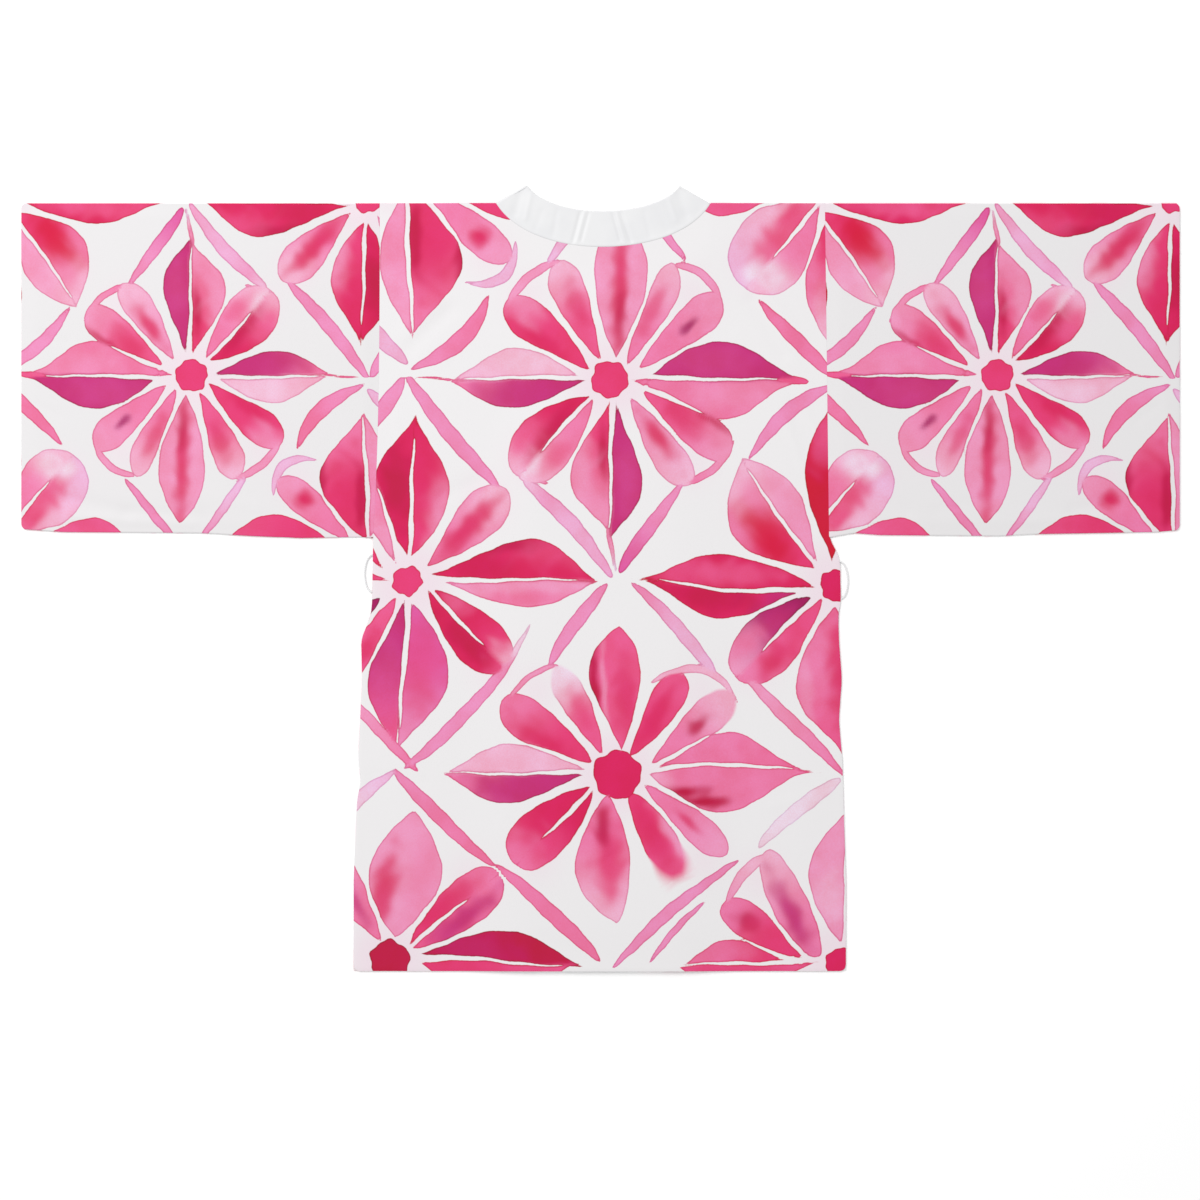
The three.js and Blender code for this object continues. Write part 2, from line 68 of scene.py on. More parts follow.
class Tone(Enum):
    """Ink tones of the print, as sRGB values that run from 0 to 255."""

    MIST = (241, 212, 228)
    BLUSH = (239, 178, 212)
    PALE = (243, 178, 205)
    LIGHT = (241, 150, 187)
    RIBBON = (239, 142, 186)
    PINK = (240, 124, 168)
    ORCHID = (226, 92, 158)
    ROSE = (238, 94, 144)
    CERISE = (232, 66, 118)
    CRIMSON = (222, 44, 96)
    DEEP = (196, 28, 74)
    RED = (216, 26, 58)
    MAGENTA = (202, 54, 120)
    PLUM = (168, 38, 98)


class Brush(Enum):
    """How a stroke of the print meets the others, by its letter in the charts.

    A petal keeps a white gap to other petals, a ribbon flows into what it meets, and a reserve
    is left white in a petal.
    """

    PETAL = "P"
    RIBBON = "R"
    RESERVE = "G"


def linear(tone: Sequence[float]) -> np.ndarray:
    """Turns an sRGB colour into linear light.

    Args:
        tone: Red, green and blue from 0 to 255.

    Returns:
        The three linear values.
    """
    share = np.asarray(tone, float) / 255
    curved = ((share + SRGB_OFFSET) / (1 + SRGB_OFFSET)) ** SRGB_POWER
    return np.where(share <= SRGB_TOE, share / SRGB_SLOPE, curved)


def smoothstep(value: np.ndarray, low: float, high: float) -> np.ndarray:
    """Eases a value from 0 at `low` to 1 at `high`."""
    share = np.clip((value - low) / (high - low), 0, 1)
    return share * share * (3 - 2 * share)


def mix(start: np.ndarray, end: np.ndarray, share: np.ndarray) -> np.ndarray:
    """Goes from `start` to `end` as `share` goes from 0 to 1."""
    return start + (end - start) * share


def graded(count: int, finest: float = 0.3, over: float = 3.0) -> np.ndarray:
    """Spaces steps from 0 to 1, with smaller ones at both ends.

    Args:
        count: Number of steps.
        finest: Length of the end steps as a share of the middle ones.
        over: Number of steps over which they grow.

    Returns:
        The count + 1 places.
    """
    step = np.arange(count) + 0.5
    to_end = np.minimum(step, count - step)
    lengths = 1 - (1 - finest) * np.exp(-to_end / over)
    places = np.concatenate([[0], np.cumsum(lengths)])
    return places / places[-1]


def rounding(inset: np.ndarray, corner: float) -> np.ndarray:
    """How far a corner of radius `corner` is cut back at points `inset` from its side."""
    into = np.clip(corner - inset, 0, corner)
    return corner - np.sqrt(corner**2 - into**2)


def even_curve(points: Sequence[Sequence[float]], count: int) -> tuple[np.ndarray, np.ndarray]:
    """Walks along a Bezier curve in even steps.

    Args:
        points: Its control points.
        count: Number of steps.

    Returns:
        The places, and the directions of travel there.
    """
    control = np.asarray(points, float)
    degree = len(control) - 1

    def at(share: np.ndarray) -> np.ndarray:
        """Places on the curve at shares of its parameter."""
        weights = [
            math.comb(degree, k) * (1 - share) ** (degree - k) * share**k for k in range(degree + 1)
        ]
        return np.stack(weights, 1) @ control

    fine = np.linspace(0, 1, CURVE_STEPS + 1)
    places = at(fine)
    arc = np.concatenate([[0], np.cumsum(np.hypot(*np.diff(places, axis=0).T))])
    shares = np.interp(np.linspace(0, arc[-1], count + 1), arc, fine)
    run = at(np.minimum(shares + CURVE_NUDGE, 1)) - at(np.maximum(shares - CURVE_NUDGE, 0))
    return at(shares), run / np.hypot(*run.T)[:, None]


@dataclass(frozen=True)
class Line:
    """A middle line on the plane, with its direction of travel, in millimetres."""

    middle: np.ndarray
    travel: np.ndarray

    def beside(self, side: float) -> np.ndarray:
        """Points `side` to the left of the direction of travel."""
        across = np.stack([-self.travel[:, 1], self.travel[:, 0]], 1)
        return self.middle + side * across

    def x_at(self, side: float, y: np.ndarray) -> np.ndarray:
        """X of the parallel line `side` to the left, at heights y."""
        line = self.beside(side)
        order = np.argsort(line[:, 1])
        return np.interp(y, line[order, 1], line[order, 0])


@dataclass(frozen=True)
class Crease:
    """A soft trough or ridge in cloth, in millimetres."""

    x0: float
    y0: float
    x1: float
    y1: float
    wide: float
    rise: float

    def at(self, x: np.ndarray, y: np.ndarray) -> np.ndarray:
        """Rise of the cloth at points, fading out beside it and past its ends."""
        run_x, run_y = self.x1 - self.x0, self.y1 - self.y0
        along = ((x - self.x0) * run_x + (y - self.y0) * run_y) / (run_x**2 + run_y**2)
        near = np.clip(along, 0, 1)
        off = np.hypot(x - self.x0 - near * run_x, y - self.y0 - near * run_y)
        return self.rise * np.exp(-((off / self.wide) ** 2))


def creases_at(table: Sequence[Crease], x: np.ndarray, y: np.ndarray) -> np.ndarray:
    """Adds up the rise of several creases at points."""
    return sum((crease.at(x, y) for crease in table), np.zeros(np.shape(x)))


def creases(*rows: Sequence[float]) -> tuple[Crease, ...]:
    """Makes creases from rows of their ends, width and rise."""
    return tuple(Crease(*row) for row in rows)


MAIN_CREASES = creases(
    (166, 304, 202, 247, 9, -0.8),
    (184, 312, 218, 262, 10, 0.9),
    (213, 188, 234, 136, 9, -0.7),
    (-166, 294, -212, 252, 9, -0.8),
    (-180, 305, -226, 262, 10, 0.8),
    (-168, 93, -128, 110, 9, -0.6),
    (-596, 90, -522, 72, 9, -0.8),
    (-522, 72, -436, 68, 9, -0.7),
    (-580, 66, -450, 56, 8, 0.8),
    (584, 88, 520, 74, 9, -0.7),
    (336, 74, 300, 96, 9, -0.6),
)
FINE_CREASES = creases(
    (204, 176, 222, 118, 5, 0.35),
    (222, 196, 238, 160, 5, 0.3),
    (150, 268, 172, 232, 6, 0.25),
    (-214, 208, -198, 150, 7, -0.35),
    (-226, 176, -214, 118, 6, 0.3),
    (-150, 262, -176, 236, 6, 0.25),
    (-620, 268, -588, 260, 6, -0.3),
    (-624, 192, -596, 180, 5, -0.25),
    (-470, 96, -380, 78, 9, 0.3),
    (470, 62, 566, 68, 7, 0.4),
    (612, 190, 590, 172, 5, -0.25),
    (420, 84, 370, 74, 8, -0.3),
    (-238, -52, -206, -78, 6, 0.3),
    (238, -60, 204, -92, 6, 0.3),
    (-246, -216, -196, -226, 7, -0.25),
    (246, -236, 190, -250, 7, 0.25),
    (-60, -396, -20, -412, 8, -0.2),
    (92, -390, 140, -410, 8, 0.2),
)
BAND_CREASES = creases(
    (-21.5, 404, -31, 368, 2.3, -0.75),
    (-12.5, 404, -21, 372, 2.0, -0.6),
    (-17, 404, -26, 370, 1.6, 0.3),
    (12.6, 404, 21.5, 372, 2.0, -0.6),
    (21.5, 404, 33.5, 370, 2.4, -0.8),
    (17, 404, 27, 370, 1.7, 0.3),
    (-48, 402, -52, 378, 3.2, -0.3),
    (48, 402, 54, 378, 3.2, -0.3),
    (-86, 430, -94, 402, 5.5, -0.8),
    (-76, 424, -82, 396, 3.0, 0.45),
    (84, 426, 94, 400, 5.5, -0.8),
    (74, 420, 83, 394, 3.0, 0.45),
    (-64, 404, -72, 384, 4.0, -0.25),
    (64, 404, 74, 384, 4.0, -0.25),
)


@dataclass(frozen=True)
class Armhole:
    """An armhole seam, by its X at the shoulder and at the armpit and how it bends."""

    top: float
    bottom: float
    bend: float


@dataclass(frozen=True)
class RobeShape:
    """The robe's outline from above and the heights of its layers, in millimetres."""

    cloth: float = 1.0
    gap: float = 0.3
    band_thick: float = 2.0
    band_half: float = 19.7
    shoulder_y: float = 412.5
    hem_y: float = -432.6
    hem_corner: float = 7.0
    hem_corner_fade: float = 40.0
    cuff_x: float = 637.5
    cuff_corner: float = 6.0
    front_hem_short: float = 0.6
    armpit_y: float = 44.0
    neck_left: tuple[float, float] = (-98.4, 422.9)
    neck_right: tuple[float, float] = (104.0, 421.9)
    neck_middle: tuple[float, float] = (1.6, 383.9)
    neck_angle: float = 60.0
    neck_end_pull: float = 26.4
    neck_middle_pull: float = 49.5
    front_past_middle: float = 50.3
    front_turn: float = 150.0
    lap_clear: float = 3.0
    lap_slope: float = 70.0
    back_clear: float = 4.0
    back_slope: float = 85.0
    back_over_lap: float = 3.4
    back_over_band: float = 1.8
    band_reach: float = 22.0
    blend_power: float = 4.0
    shoulder_roll: float = 26.0
    loft: float = 0.9
    loft_edge: float = 55.0
    sleeve_loft_edge: float = 18.0
    crease_edge: float = 12.0
    seam_softness: float = 5.0
    armholes: dict[int, Armhole] = field(
        default_factory=lambda: {-1: Armhole(-243.0, -250.2, 3), 1: Armhole(247.0, 251.6, 1)}
    )
    side_seams: tuple[tuple[float, float, float], ...] = (
        (44, -250.2, 251.6),
        (31, -250.5, 259.0),
        (20, -250.7, 263.5),
        (-24, -251.3, 264.6),
        (-40, -252.5, 261.8),
        (-68, -263.5, 262.4),
        (-112, -262.4, 265.7),
        (-156, -264.5, 262.4),
        (-200, -266.8, 266.2),
        (-222, -263.5, 266.8),
        (-244, -267.9, 267.4),
        (-332, -271.7, 270.1),
        (-432.6, -271.7, 270.1),
    )

    @property
    def back_lowest(self) -> float:
        """Underside of the back where one layer lies under it."""
        return self.cloth + self.gap

    def side_x(self, sign: int, y: np.ndarray) -> np.ndarray:
        """X of the body's side: its armhole seam, or its side seam under the armpit.

        Args:
            sign: -1 for the wearer's left and 1 for the right.
            y: Heights.

        Returns:
            X at those heights.
        """
        table = np.array(self.side_seams)[::-1]
        column = 1 if sign < 0 else 2
        soft = self.seam_softness
        seam = np.mean(
            [np.interp(y + shift, table[:, 0], table[:, column]) for shift in (-soft, 0, soft)], 0
        )
        hole = self.armholes[sign]
        down = np.clip((self.shoulder_y - y) / (self.shoulder_y - self.armpit_y), 0, 1)
        return np.where(y < self.armpit_y, seam, mix(hole.top, hole.bottom, down**hole.bend))

    def front_line(self, sign: int, steps: int = 60) -> Line:
        """Middle line of the band down one front, from the shoulder to the hem."""
        neck = np.array(self.neck_left if sign < 0 else self.neck_right)
        line_x = -sign * self.front_past_middle
        corner_y = neck[1] - abs(line_x - neck[0]) * math.tan(math.radians(self.neck_angle))
        turned = (line_x, corner_y - self.front_turn)
        middle, travel = even_curve([neck, (line_x, corner_y), turned], steps)
        hem = self.hem_y + self.front_hem_short
        ys = np.linspace(turned[1], hem, steps + 1)[1:]
        straight = np.stack([np.full(steps, line_x), ys], 1)
        down = np.tile([0.0, -1.0], (steps, 1))
        return Line(np.concatenate([middle, straight]), np.concatenate([travel, down]))

    def neck_line(self, steps: int = 300) -> Line:
        """Middle line of the band behind the neck, from the left shoulder to the right."""
        angle = math.radians(self.neck_angle)
        down = np.array([math.cos(angle), -math.sin(angle)])
        up = down * (1, -1)
        left, right = np.array(self.neck_left), np.array(self.neck_right)
        middle, level = np.array(self.neck_middle), np.array([self.neck_middle_pull, 0])
        pull = self.neck_end_pull
        first = even_curve([left, left + pull * down, middle - level, middle], steps // 2)
        second = even_curve([middle, middle + level, right - pull * up, right], steps // 2)
        return Line(*(np.concatenate([a, b[1:]]) for a, b in zip(first, second)))

    def free_x(self, sign: int, y: np.ndarray) -> np.ndarray:
        """X of a front's free edge, which is its band's outer fold."""
        return self.front_line(sign).x_at(-sign * self.band_half, y)

    def seam_x(self, sign: int, y: np.ndarray) -> np.ndarray:
        """X of the seam that joins a front panel to its band."""
        return self.front_line(sign).x_at(sign * (self.band_half + self.gap), y)

    def right_front_under(self, x: np.ndarray, y: np.ndarray) -> np.ndarray:
        """Underside of the right front, which laps over the left one and its band."""
        past = x - self.free_x(-1, y)
        lapped = self.band_thick + self.gap
        return lapped * (1 - smoothstep(past, self.lap_clear, self.lap_clear + self.lap_slope))

    def back_under(self, x: np.ndarray, y: np.ndarray) -> np.ndarray:
        """Underside of the back before creases, which clears the fronts and their bands."""
        clear, slope = self.back_clear, self.back_slope
        over_left = 1 - smoothstep(x - self.free_x(-1, y), clear, clear + slope)
        over_right = 1 - smoothstep(self.free_x(1, y) - x, clear, clear + slope)
        lifts = [self.back_over_lap * over_left * over_right]
        for sign in (-1, 1):
            off = np.abs(x - self.front_line(sign).x_at(0, y))
            reach = self.band_reach
            lifts.append(self.back_over_band * (1 - smoothstep(off, reach, reach + slope)))
        power = self.blend_power
        return self.back_lowest + sum(lift**power for lift in lifts) ** (1 / power)

    def back_top(self, x: np.ndarray, y: np.ndarray, top_y: np.ndarray) -> np.ndarray:
        """Upper face of the back, lofted and creased away from its seams.

        Args:
            x: Places across.
            y: Places along.
            top_y: Height of the shoulder or neck edge above each place.

        Returns:
            The heights.
        """
        inset = np.minimum(x - self.side_x(-1, y), self.side_x(1, y) - x)
        to_top, to_hem = top_y - y, y - self.hem_y
        reach = self.loft_edge
        soft = smoothstep(inset, 0, reach) * smoothstep(to_top, 0, reach) * smoothstep(to_hem, 0, reach)
        rise = self.rise(x, y, soft, np.minimum(inset, np.minimum(to_top, to_hem)))
        return self.back_under(x, y) + self.cloth + rise

    def rise(self, x: np.ndarray, y: np.ndarray, soft: np.ndarray, inset: np.ndarray) -> np.ndarray:
        """How far the loft and the creases lift an upper layer.

        Args:
            x: Places across.
            y: Places along.
            soft: Share of the loft and the main creases that is left near the seams.
            inset: Distance from the nearest edge, towards which the fine creases fade.

        Returns:
            The lift.
        """
        fine = smoothstep(inset, 0, self.crease_edge) * creases_at(FINE_CREASES, x, y)
        return soft * (self.loft + creases_at(MAIN_CREASES, x, y)) + fine

    def hem_lift(self, inset: np.ndarray, height: np.ndarray) -> np.ndarray:
        """How far the hem's rounded corner lifts points that are `inset` from the side."""
        fade = 1 - np.clip((height - self.hem_y) / self.hem_corner_fade, 0, 1)
        return rounding(inset, self.hem_corner) * fade


ROBE = RobeShape()


@dataclass(frozen=True)
class Wave:
    """A slow wave over the print: its height, how it turns across and along, and its start."""

    rise: float
    across: float
    along: float
    start: float = 0.0

    def at(self, x: np.ndarray, y: np.ndarray) -> np.ndarray:
        """Height of the wave at points."""
        return self.rise * np.sin(self.across * x + self.along * y + self.start)


@dataclass(frozen=True)
class Wash:
    """A soft spot of ink in a stroke, placed along it and across its half width.

    Its edge is frayed by a ripple, whose two directions each bend with the other.
    """

    along: float
    across: float
    long: float
    broad: float
    tone: Tone
    strength: float

    EDGE = 1.5
    FRAY = 0.45
    RIPPLE = (0.17, 0.15)
    BENDS = (Wave(1.3, 0.0, 0.11), Wave(-0.9, 0.13, 0.0))

    @classmethod
    def ripple(cls, x: np.ndarray, y: np.ndarray) -> np.ndarray:
        """The uneven ripple, from -1 to 1, at points."""
        turns = (rate * way + bend.at(x, y) for rate, way, bend in zip(cls.RIPPLE, (x, y), cls.BENDS))
        return np.prod([np.sin(turn) for turn in turns], axis=0)

    def share(self, along: np.ndarray, across: np.ndarray, ripple: np.ndarray) -> np.ndarray:
        """How much of the spot's ink lies on points of the stroke."""
        off = ((along - self.along) / self.long) ** 2 + ((across - self.across) / self.broad) ** 2
        return self.strength * np.exp(-((off * (1 + self.FRAY * ripple)) ** self.EDGE))


@dataclass(frozen=True)
class Stroke:
    """One brush stroke, from its start to its end, in print units from its flower's middle.

    It has a half width on each side and is widest at the share `peak` of its length. `blunt` and
    `taper` shape its start and its end, `bow` bends it to the left, and `wet` lets its end run.
    Its ink goes from `tone` to `tip`.
    """

    brush: Brush
    x0: float
    y0: float
    x1: float
    y1: float
    left: float
    right: float
    peak: float
    blunt: float
    taper: float
    tone: Tone
    tip: Tone
    bow: float = 0.0
    wet: float = 0.0
    washes: tuple[Wash, ...] = ()

    NUMBERS = 9
    LINE_REACH = 6.0
    STEEPEST = 0.12
    END_SHARE = 1e-4
    TIP_FROM = 0.3
    WET_FROM = 0.6

    @classmethod
    def read(cls, row: str) -> "Stroke":
        """Reads one row of a chart.

        Args:
            row: Its letter, start, end, half widths, peak, blunt and taper, then its tones, its
                bow and its wetness where it has them, and after each bar a wash.

        Returns:
            The stroke.
        """
        head, *spots = (part.split() for part in row.split("|"))
        words = head[cls.NUMBERS + 1 :]
        tones = [Tone[word] for word in words if "=" not in word] or [Tone.MIST]
        extra = {name: float(value) for name, value in (word.split("=") for word in words if "=" in word)}
        washes = tuple(Wash(*map(float, spot[:4]), Tone[spot[4]], float(spot[5])) for spot in spots)
        numbers = map(float, head[1 : cls.NUMBERS + 1])
        return cls(Brush(head[0]), *numbers, tones[0], tones[-1], washes=washes, **extra)

    @property
    def length(self) -> float:
        """Distance from its start to its end."""
        return math.hypot(self.x1 - self.x0, self.y1 - self.y0)

    def place(self, x: np.ndarray, y: np.ndarray) -> tuple[np.ndarray, np.ndarray]:
        """How far points lie along the stroke from its start, and to the left of its middle line."""
        ux, uy = (self.x1 - self.x0) / self.length, (self.y1 - self.y0) / self.length
        s = (x - self.x0) * ux + (y - self.y0) * uy
        share = np.clip(s / self.length, 0, 1)
        return s, (y - self.y0) * ux - (x - self.x0) * uy - 4 * self.bow * share * (1 - share)

    def swell(self, s: np.ndarray) -> tuple[np.ndarray, np.ndarray]:
        """Width along the stroke as a share of its widest, and how fast that changes."""
        share = np.clip(s / self.length, self.END_SHARE, 1 - self.END_SHARE)
        power = math.log(0.5) / math.log(self.peak)
        turn = math.pi * share**power
        bend = np.where(share < self.peak, self.blunt, self.taper)
        slope = bend * np.sin(turn) ** (bend - 1) * np.cos(turn)
        slope = slope * math.pi * power * share ** (power - 1) / self.length
        return np.sin(turn) ** bend, np.clip(slope, -self.STEEPEST, self.STEEPEST)

    def line(self, x: np.ndarray, y: np.ndarray) -> tuple[np.ndarray, np.ndarray]:
        """Signed distance of points from the middle line, and half the width there."""
        s, t = self.place(x, y)
        half = np.minimum(self.left * self.swell(s)[0], np.minimum(s, self.length - s))
        return t, np.where(np.abs(t) < self.LINE_REACH, half, -self.LINE_REACH)

    def paint(self, x: np.ndarray, y: np.ndarray) -> tuple[np.ndarray, np.ndarray, np.ndarray]:
        """Lays the stroke on points.

        Args:
            x: Places across, in print units from the flower's middle.
            y: Places along.

        Returns:
            How far each point is inside the outline, its ink, and how soft the outline is there.
        """
        s, t = self.place(x, y)
        wide, slope = self.swell(s)
        above = (self.left * wide - t) / np.hypot(1, self.left * slope)
        below = (t + self.right * wide) / np.hypot(1, self.right * slope)
        inside = np.minimum(np.minimum(above, below), np.minimum(s, self.length - s))
        along, across = s / self.length, t / max(self.left, self.right)
        tip = smoothstep(along, self.TIP_FROM, 1)[:, None]
        ink = mix(linear(self.tone.value), linear(self.tip.value), tip)
        ripple = Wash.ripple(x, y)
        for wash in self.washes:
            ink = mix(ink, linear(wash.tone.value), wash.share(along, across, ripple)[:, None])
        return inside, ink, self.wet * smoothstep(along, self.WET_FROM, 1)


def chart(text: str) -> tuple[Stroke, ...]:
    """Reads a flower's chart: a stroke on each line, and more of its washes after a first bar."""
    return tuple(Stroke.read(row) for row in text.strip().replace("\n|", " |").splitlines())


# Stroke.read says what each row of a chart holds.
FLOWER_A = chart("""
P -20 10 -101 80 22 19 .73 .36 .5 CERISE | .5 .5 .35 .5 CRIMSON .8 | .85 -.3 .25 .8 PINK .7
| 1 -.5 .25 .8 LIGHT .7
R -101 70 -50 119 5 5 .5 .3 .3 LIGHT bow=9
R -62 117 -6 192 5 5 .4 .45 .45 BLUSH RIBBON
P -30 3 -158 0 2 30 .52 1.05 1.45 PALE | .4 -.5 .3 .5 MIST .3
P -24 -1 -162 -1 29 2 .52 1.1 1.45 MAGENTA PINK | .5 .6 .3 .6 MAGENTA .8
G -34 1 -146 1 1.5 1.7 .6 .6 .6
R -150 -1 -192 1 1.5 1.5 .2 .38 .38 PINK
P -19 -17 -93 -98 2 31 .64 .45 .42 CRIMSON PINK | .5 -.1 .34 .3 DEEP .7 | .75 -.7 .25 .4 ROSE .7
| 1 0 .2 1.5 PALE .8
P -17 -18 -92 -98 27 2 .64 .45 .42 PINK PALE | .62 .5 .16 .4 CERISE .6 | .85 0 .16 .3 MIST .7
R -100 -74 -62 -104 3 3 .5 .22 .22 LIGHT bow=-4
R -86 -100 4 -198 7.5 7.5 .5 .38 .38 RIBBON bow=5 | 0 0 .16 2 MIST .5 | .6 0 .5 2 BLUSH .7
P 0 -21 0 -155 2 40 .6 .95 1.45 CERISE LIGHT | .4 -.14 .2 .14 DEEP .8 | .5 -.75 .4 .4 LIGHT .85
P 7 -21 1 -163 30 2 .58 1.15 1.45 MAGENTA | .55 .5 .25 .5 ORCHID .3
G 4 -22 0 -150 1.8 1.8 .4 .5 .5
R -1 -148 8 -192 2.5 2.5 .3 .45 .45 LIGHT MIST
P 20 -20 83 -105 15 19 .73 .32 .5 LIGHT PALE | .45 .05 .26 .4 CRIMSON .85
P 33 -14 117 -83 28 11 .7 .32 .45 ROSE LIGHT | .5 .85 .3 .2 DEEP .75 | .42 .3 .25 .5 CRIMSON .6
R 124 -62 76 -104 4.5 4.5 .6 .3 .3 LIGHT PINK bow=9
R 78 -100 11 -193 7 7 .6 .45 .45 RIBBON ORCHID bow=-3
P 22 -1 205 -3 2 38 .53 .95 2.7 PINK | .6 -.3 .3 .5 LIGHT .5
P 42 2 202 -2 38 2 .46 1.1 2.1 MAGENTA | .35 .5 .3 .5 ORCHID .25
G 42 2 174 -1 1.5 1.3 .4 .6 .6
R 168 -1 200 -3 4 4 .45 .45 .3 ROSE
P 31 10 111 84 16 20 .73 .32 .55 PINK LIGHT | .58 -.1 .1 .22 PLUM .85
P 18 14 64 117 11 18 .73 .32 .55 PINK PALE | .58 0 .24 .5 CRIMSON .6
R 66 115 112 74 4.5 4.5 .5 .22 .22 LIGHT bow=10
R 78 118 8 196 5 5 .45 .45 .45 RIBBON bow=-3
P 8 22 14 168 27 27 .6 .62 .85 LIGHT | .5 0 .5 .3 CRIMSON .85 | .28 -.05 .16 .2 DEEP .6
P -9 20 -52 119 19 15 .73 .32 .5 ROSE PALE | .5 0 .22 .55 CRIMSON .65
""")
FLOWER_B = chart("""
P 32 -1 190 0 2 26 .58 1 1.45 LIGHT | .55 -.7 .35 .35 ROSE .55
P 20 5 192 0 41 2 .6 .9 1.45 CRIMSON | .45 .85 .25 .2 DEEP .9 | .3 .3 .2 .4 DEEP .4
| .75 .7 .25 .4 ROSE .5
G 26 3 170 1 1.7 1.7 .3 .6 .6
P 19 14 99 91 22 22 .73 .36 .5 PINK PALE | .5 0 .42 .44 CRIMSON .9 | .6 1 .5 .3 LIGHT .7
| .6 -1 .5 .3 LIGHT .7
R 92 92 -3 208 8 8 .5 .45 .45 RIBBON bow=4
P 0 24 6 168 36 2 .52 .95 1.45 CRIMSON | .5 .4 .25 .5 DEEP .9
P 2 24 6 168 2 38 .48 .95 1.45 CERISE CRIMSON | .3 -.8 .3 .4 LIGHT .85 | .55 -.3 .25 .5 CRIMSON .6
G 1 26 6 144 1.9 1.9 .4 .5 .5
P -22 10 -88 124 31 2 .62 .9 1.45 CERISE PALE | .45 .35 .25 .42 RED .85 | .55 .95 .3 .3 ROSE .5
P -11 17 -87 124 2 31 .6 .9 1.45 LIGHT RIBBON | .5 -.6 .3 .4 PINK .6
G -17 14 -84 110 1.5 1.5 .4 .5 .5
R -82 122 -4 203 8.5 8.5 .6 .52 .45 RIBBON bow=-6
P -18 2 -200 3 2 32 .52 1.05 1.45 ROSE CRIMSON | .5 -.5 .3 .4 CRIMSON .55 | .15 -.4 .15 .6 CRIMSON .7
P -38 -4 -200 3 38 2 .52 1 1.45 CRIMSON | .1 .3 .25 .8 MAGENTA .9 | .5 .5 .3 .5 DEEP .5
G -38 -4 -168 2 1.7 1.7 .4 .6 .6
P -28 -16 -98 -88 13 26 .73 .32 .55 PLUM PINK | .35 0 .22 .8 PLUM .8
P -13 -17 -80 -100 22 12 .73 .32 .55 ROSE | .65 .4 .3 .5 CRIMSON .75
R -98 -84 9 -190 6 6 .5 .45 .45 LIGHT PINK bow=2
P -3 -19 -14 -171 2 31 .56 .85 1.45 MAGENTA ROSE | .5 -.4 .3 .5 ORCHID .3
P 4 -22 -12 -170 44 2 .5 .85 1.45 ORCHID RIBBON | .42 .35 .3 .5 CERISE .5
G 1 -22 -9 -146 2.2 2.2 .4 .5 .5
P 25 -9 98 -88 26 2 .66 .42 .42 CRIMSON CERISE | .2 .4 .15 .6 PINK .5 | 1 0 .2 1 PALE .9
P 21 -9 97 -88 2 26 .66 .42 .42 CRIMSON | .6 -.3 .35 .5 DEEP .75 | 1 .2 .16 1 ROSE .8
R 124 -42 -4 -186 7 7 .62 .45 .45 RIBBON bow=11 | 0 0 .22 2 MIST .9
""")
FLOWER_E = chart("""
P -3 23 4 190 32 30 .56 .95 1.1 RED | .75 .4 .2 .5 ROSE .8 | .35 0 .4 1.5 DEEP .35
P -18 15 -95 126 50 2 .56 .8 1.1 CERISE PALE | .42 .45 .3 .42 RED .85 | .6 .95 .3 .25 PINK .7
| .72 .2 .14 .25 PINK .5
P -18 15 -95 126 2 29 .58 .8 .9 LIGHT PALE | .6 -.5 .3 .4 LIGHT .6
G -30 32 -88 116 1.7 1.7 .4 .5 .5
R -88 124 -6 200 7.5 7.5 .55 .52 .38 RIBBON bow=8
P -20 -3 -204 7 2 33 .52 .9 2 CRIMSON bow=4 | .45 -.4 .25 .35 ROSE .7 | .75 -.4 .2 .6 ROSE .5
P -38 -7 -202 7 28 2 .48 .9 2 CRIMSON bow=4 | 0 .3 .25 1.8 MAGENTA .95 | .5 .3 .3 .5 DEEP .6
G -38 -7 -176 5 1.8 1.8 .4 .6 .6 bow=3.4
P -25 -13 -100 -94 2 29 .62 .45 .42 PLUM LIGHT | .4 -.3 .2 .6 MAGENTA .8 | .7 -.6 .2 .5 PINK .8
P -15 -13 -100 -94 27 2 .62 .45 .42 ROSE PINK | .66 .5 .2 .4 CRIMSON .8 | .3 .3 .3 .6 CERISE .5
R -100 -84 9 -190 6.5 6.5 .5 .45 .45 LIGHT PINK bow=2
P -1 -21 8 -171 24 44 .54 .8 1.45 PINK ROSE | .5 .15 .4 .4 CRIMSON .85 | .2 .2 .16 .4 CERISE .6
| .55 -.8 .3 .2 LIGHT .7
""")
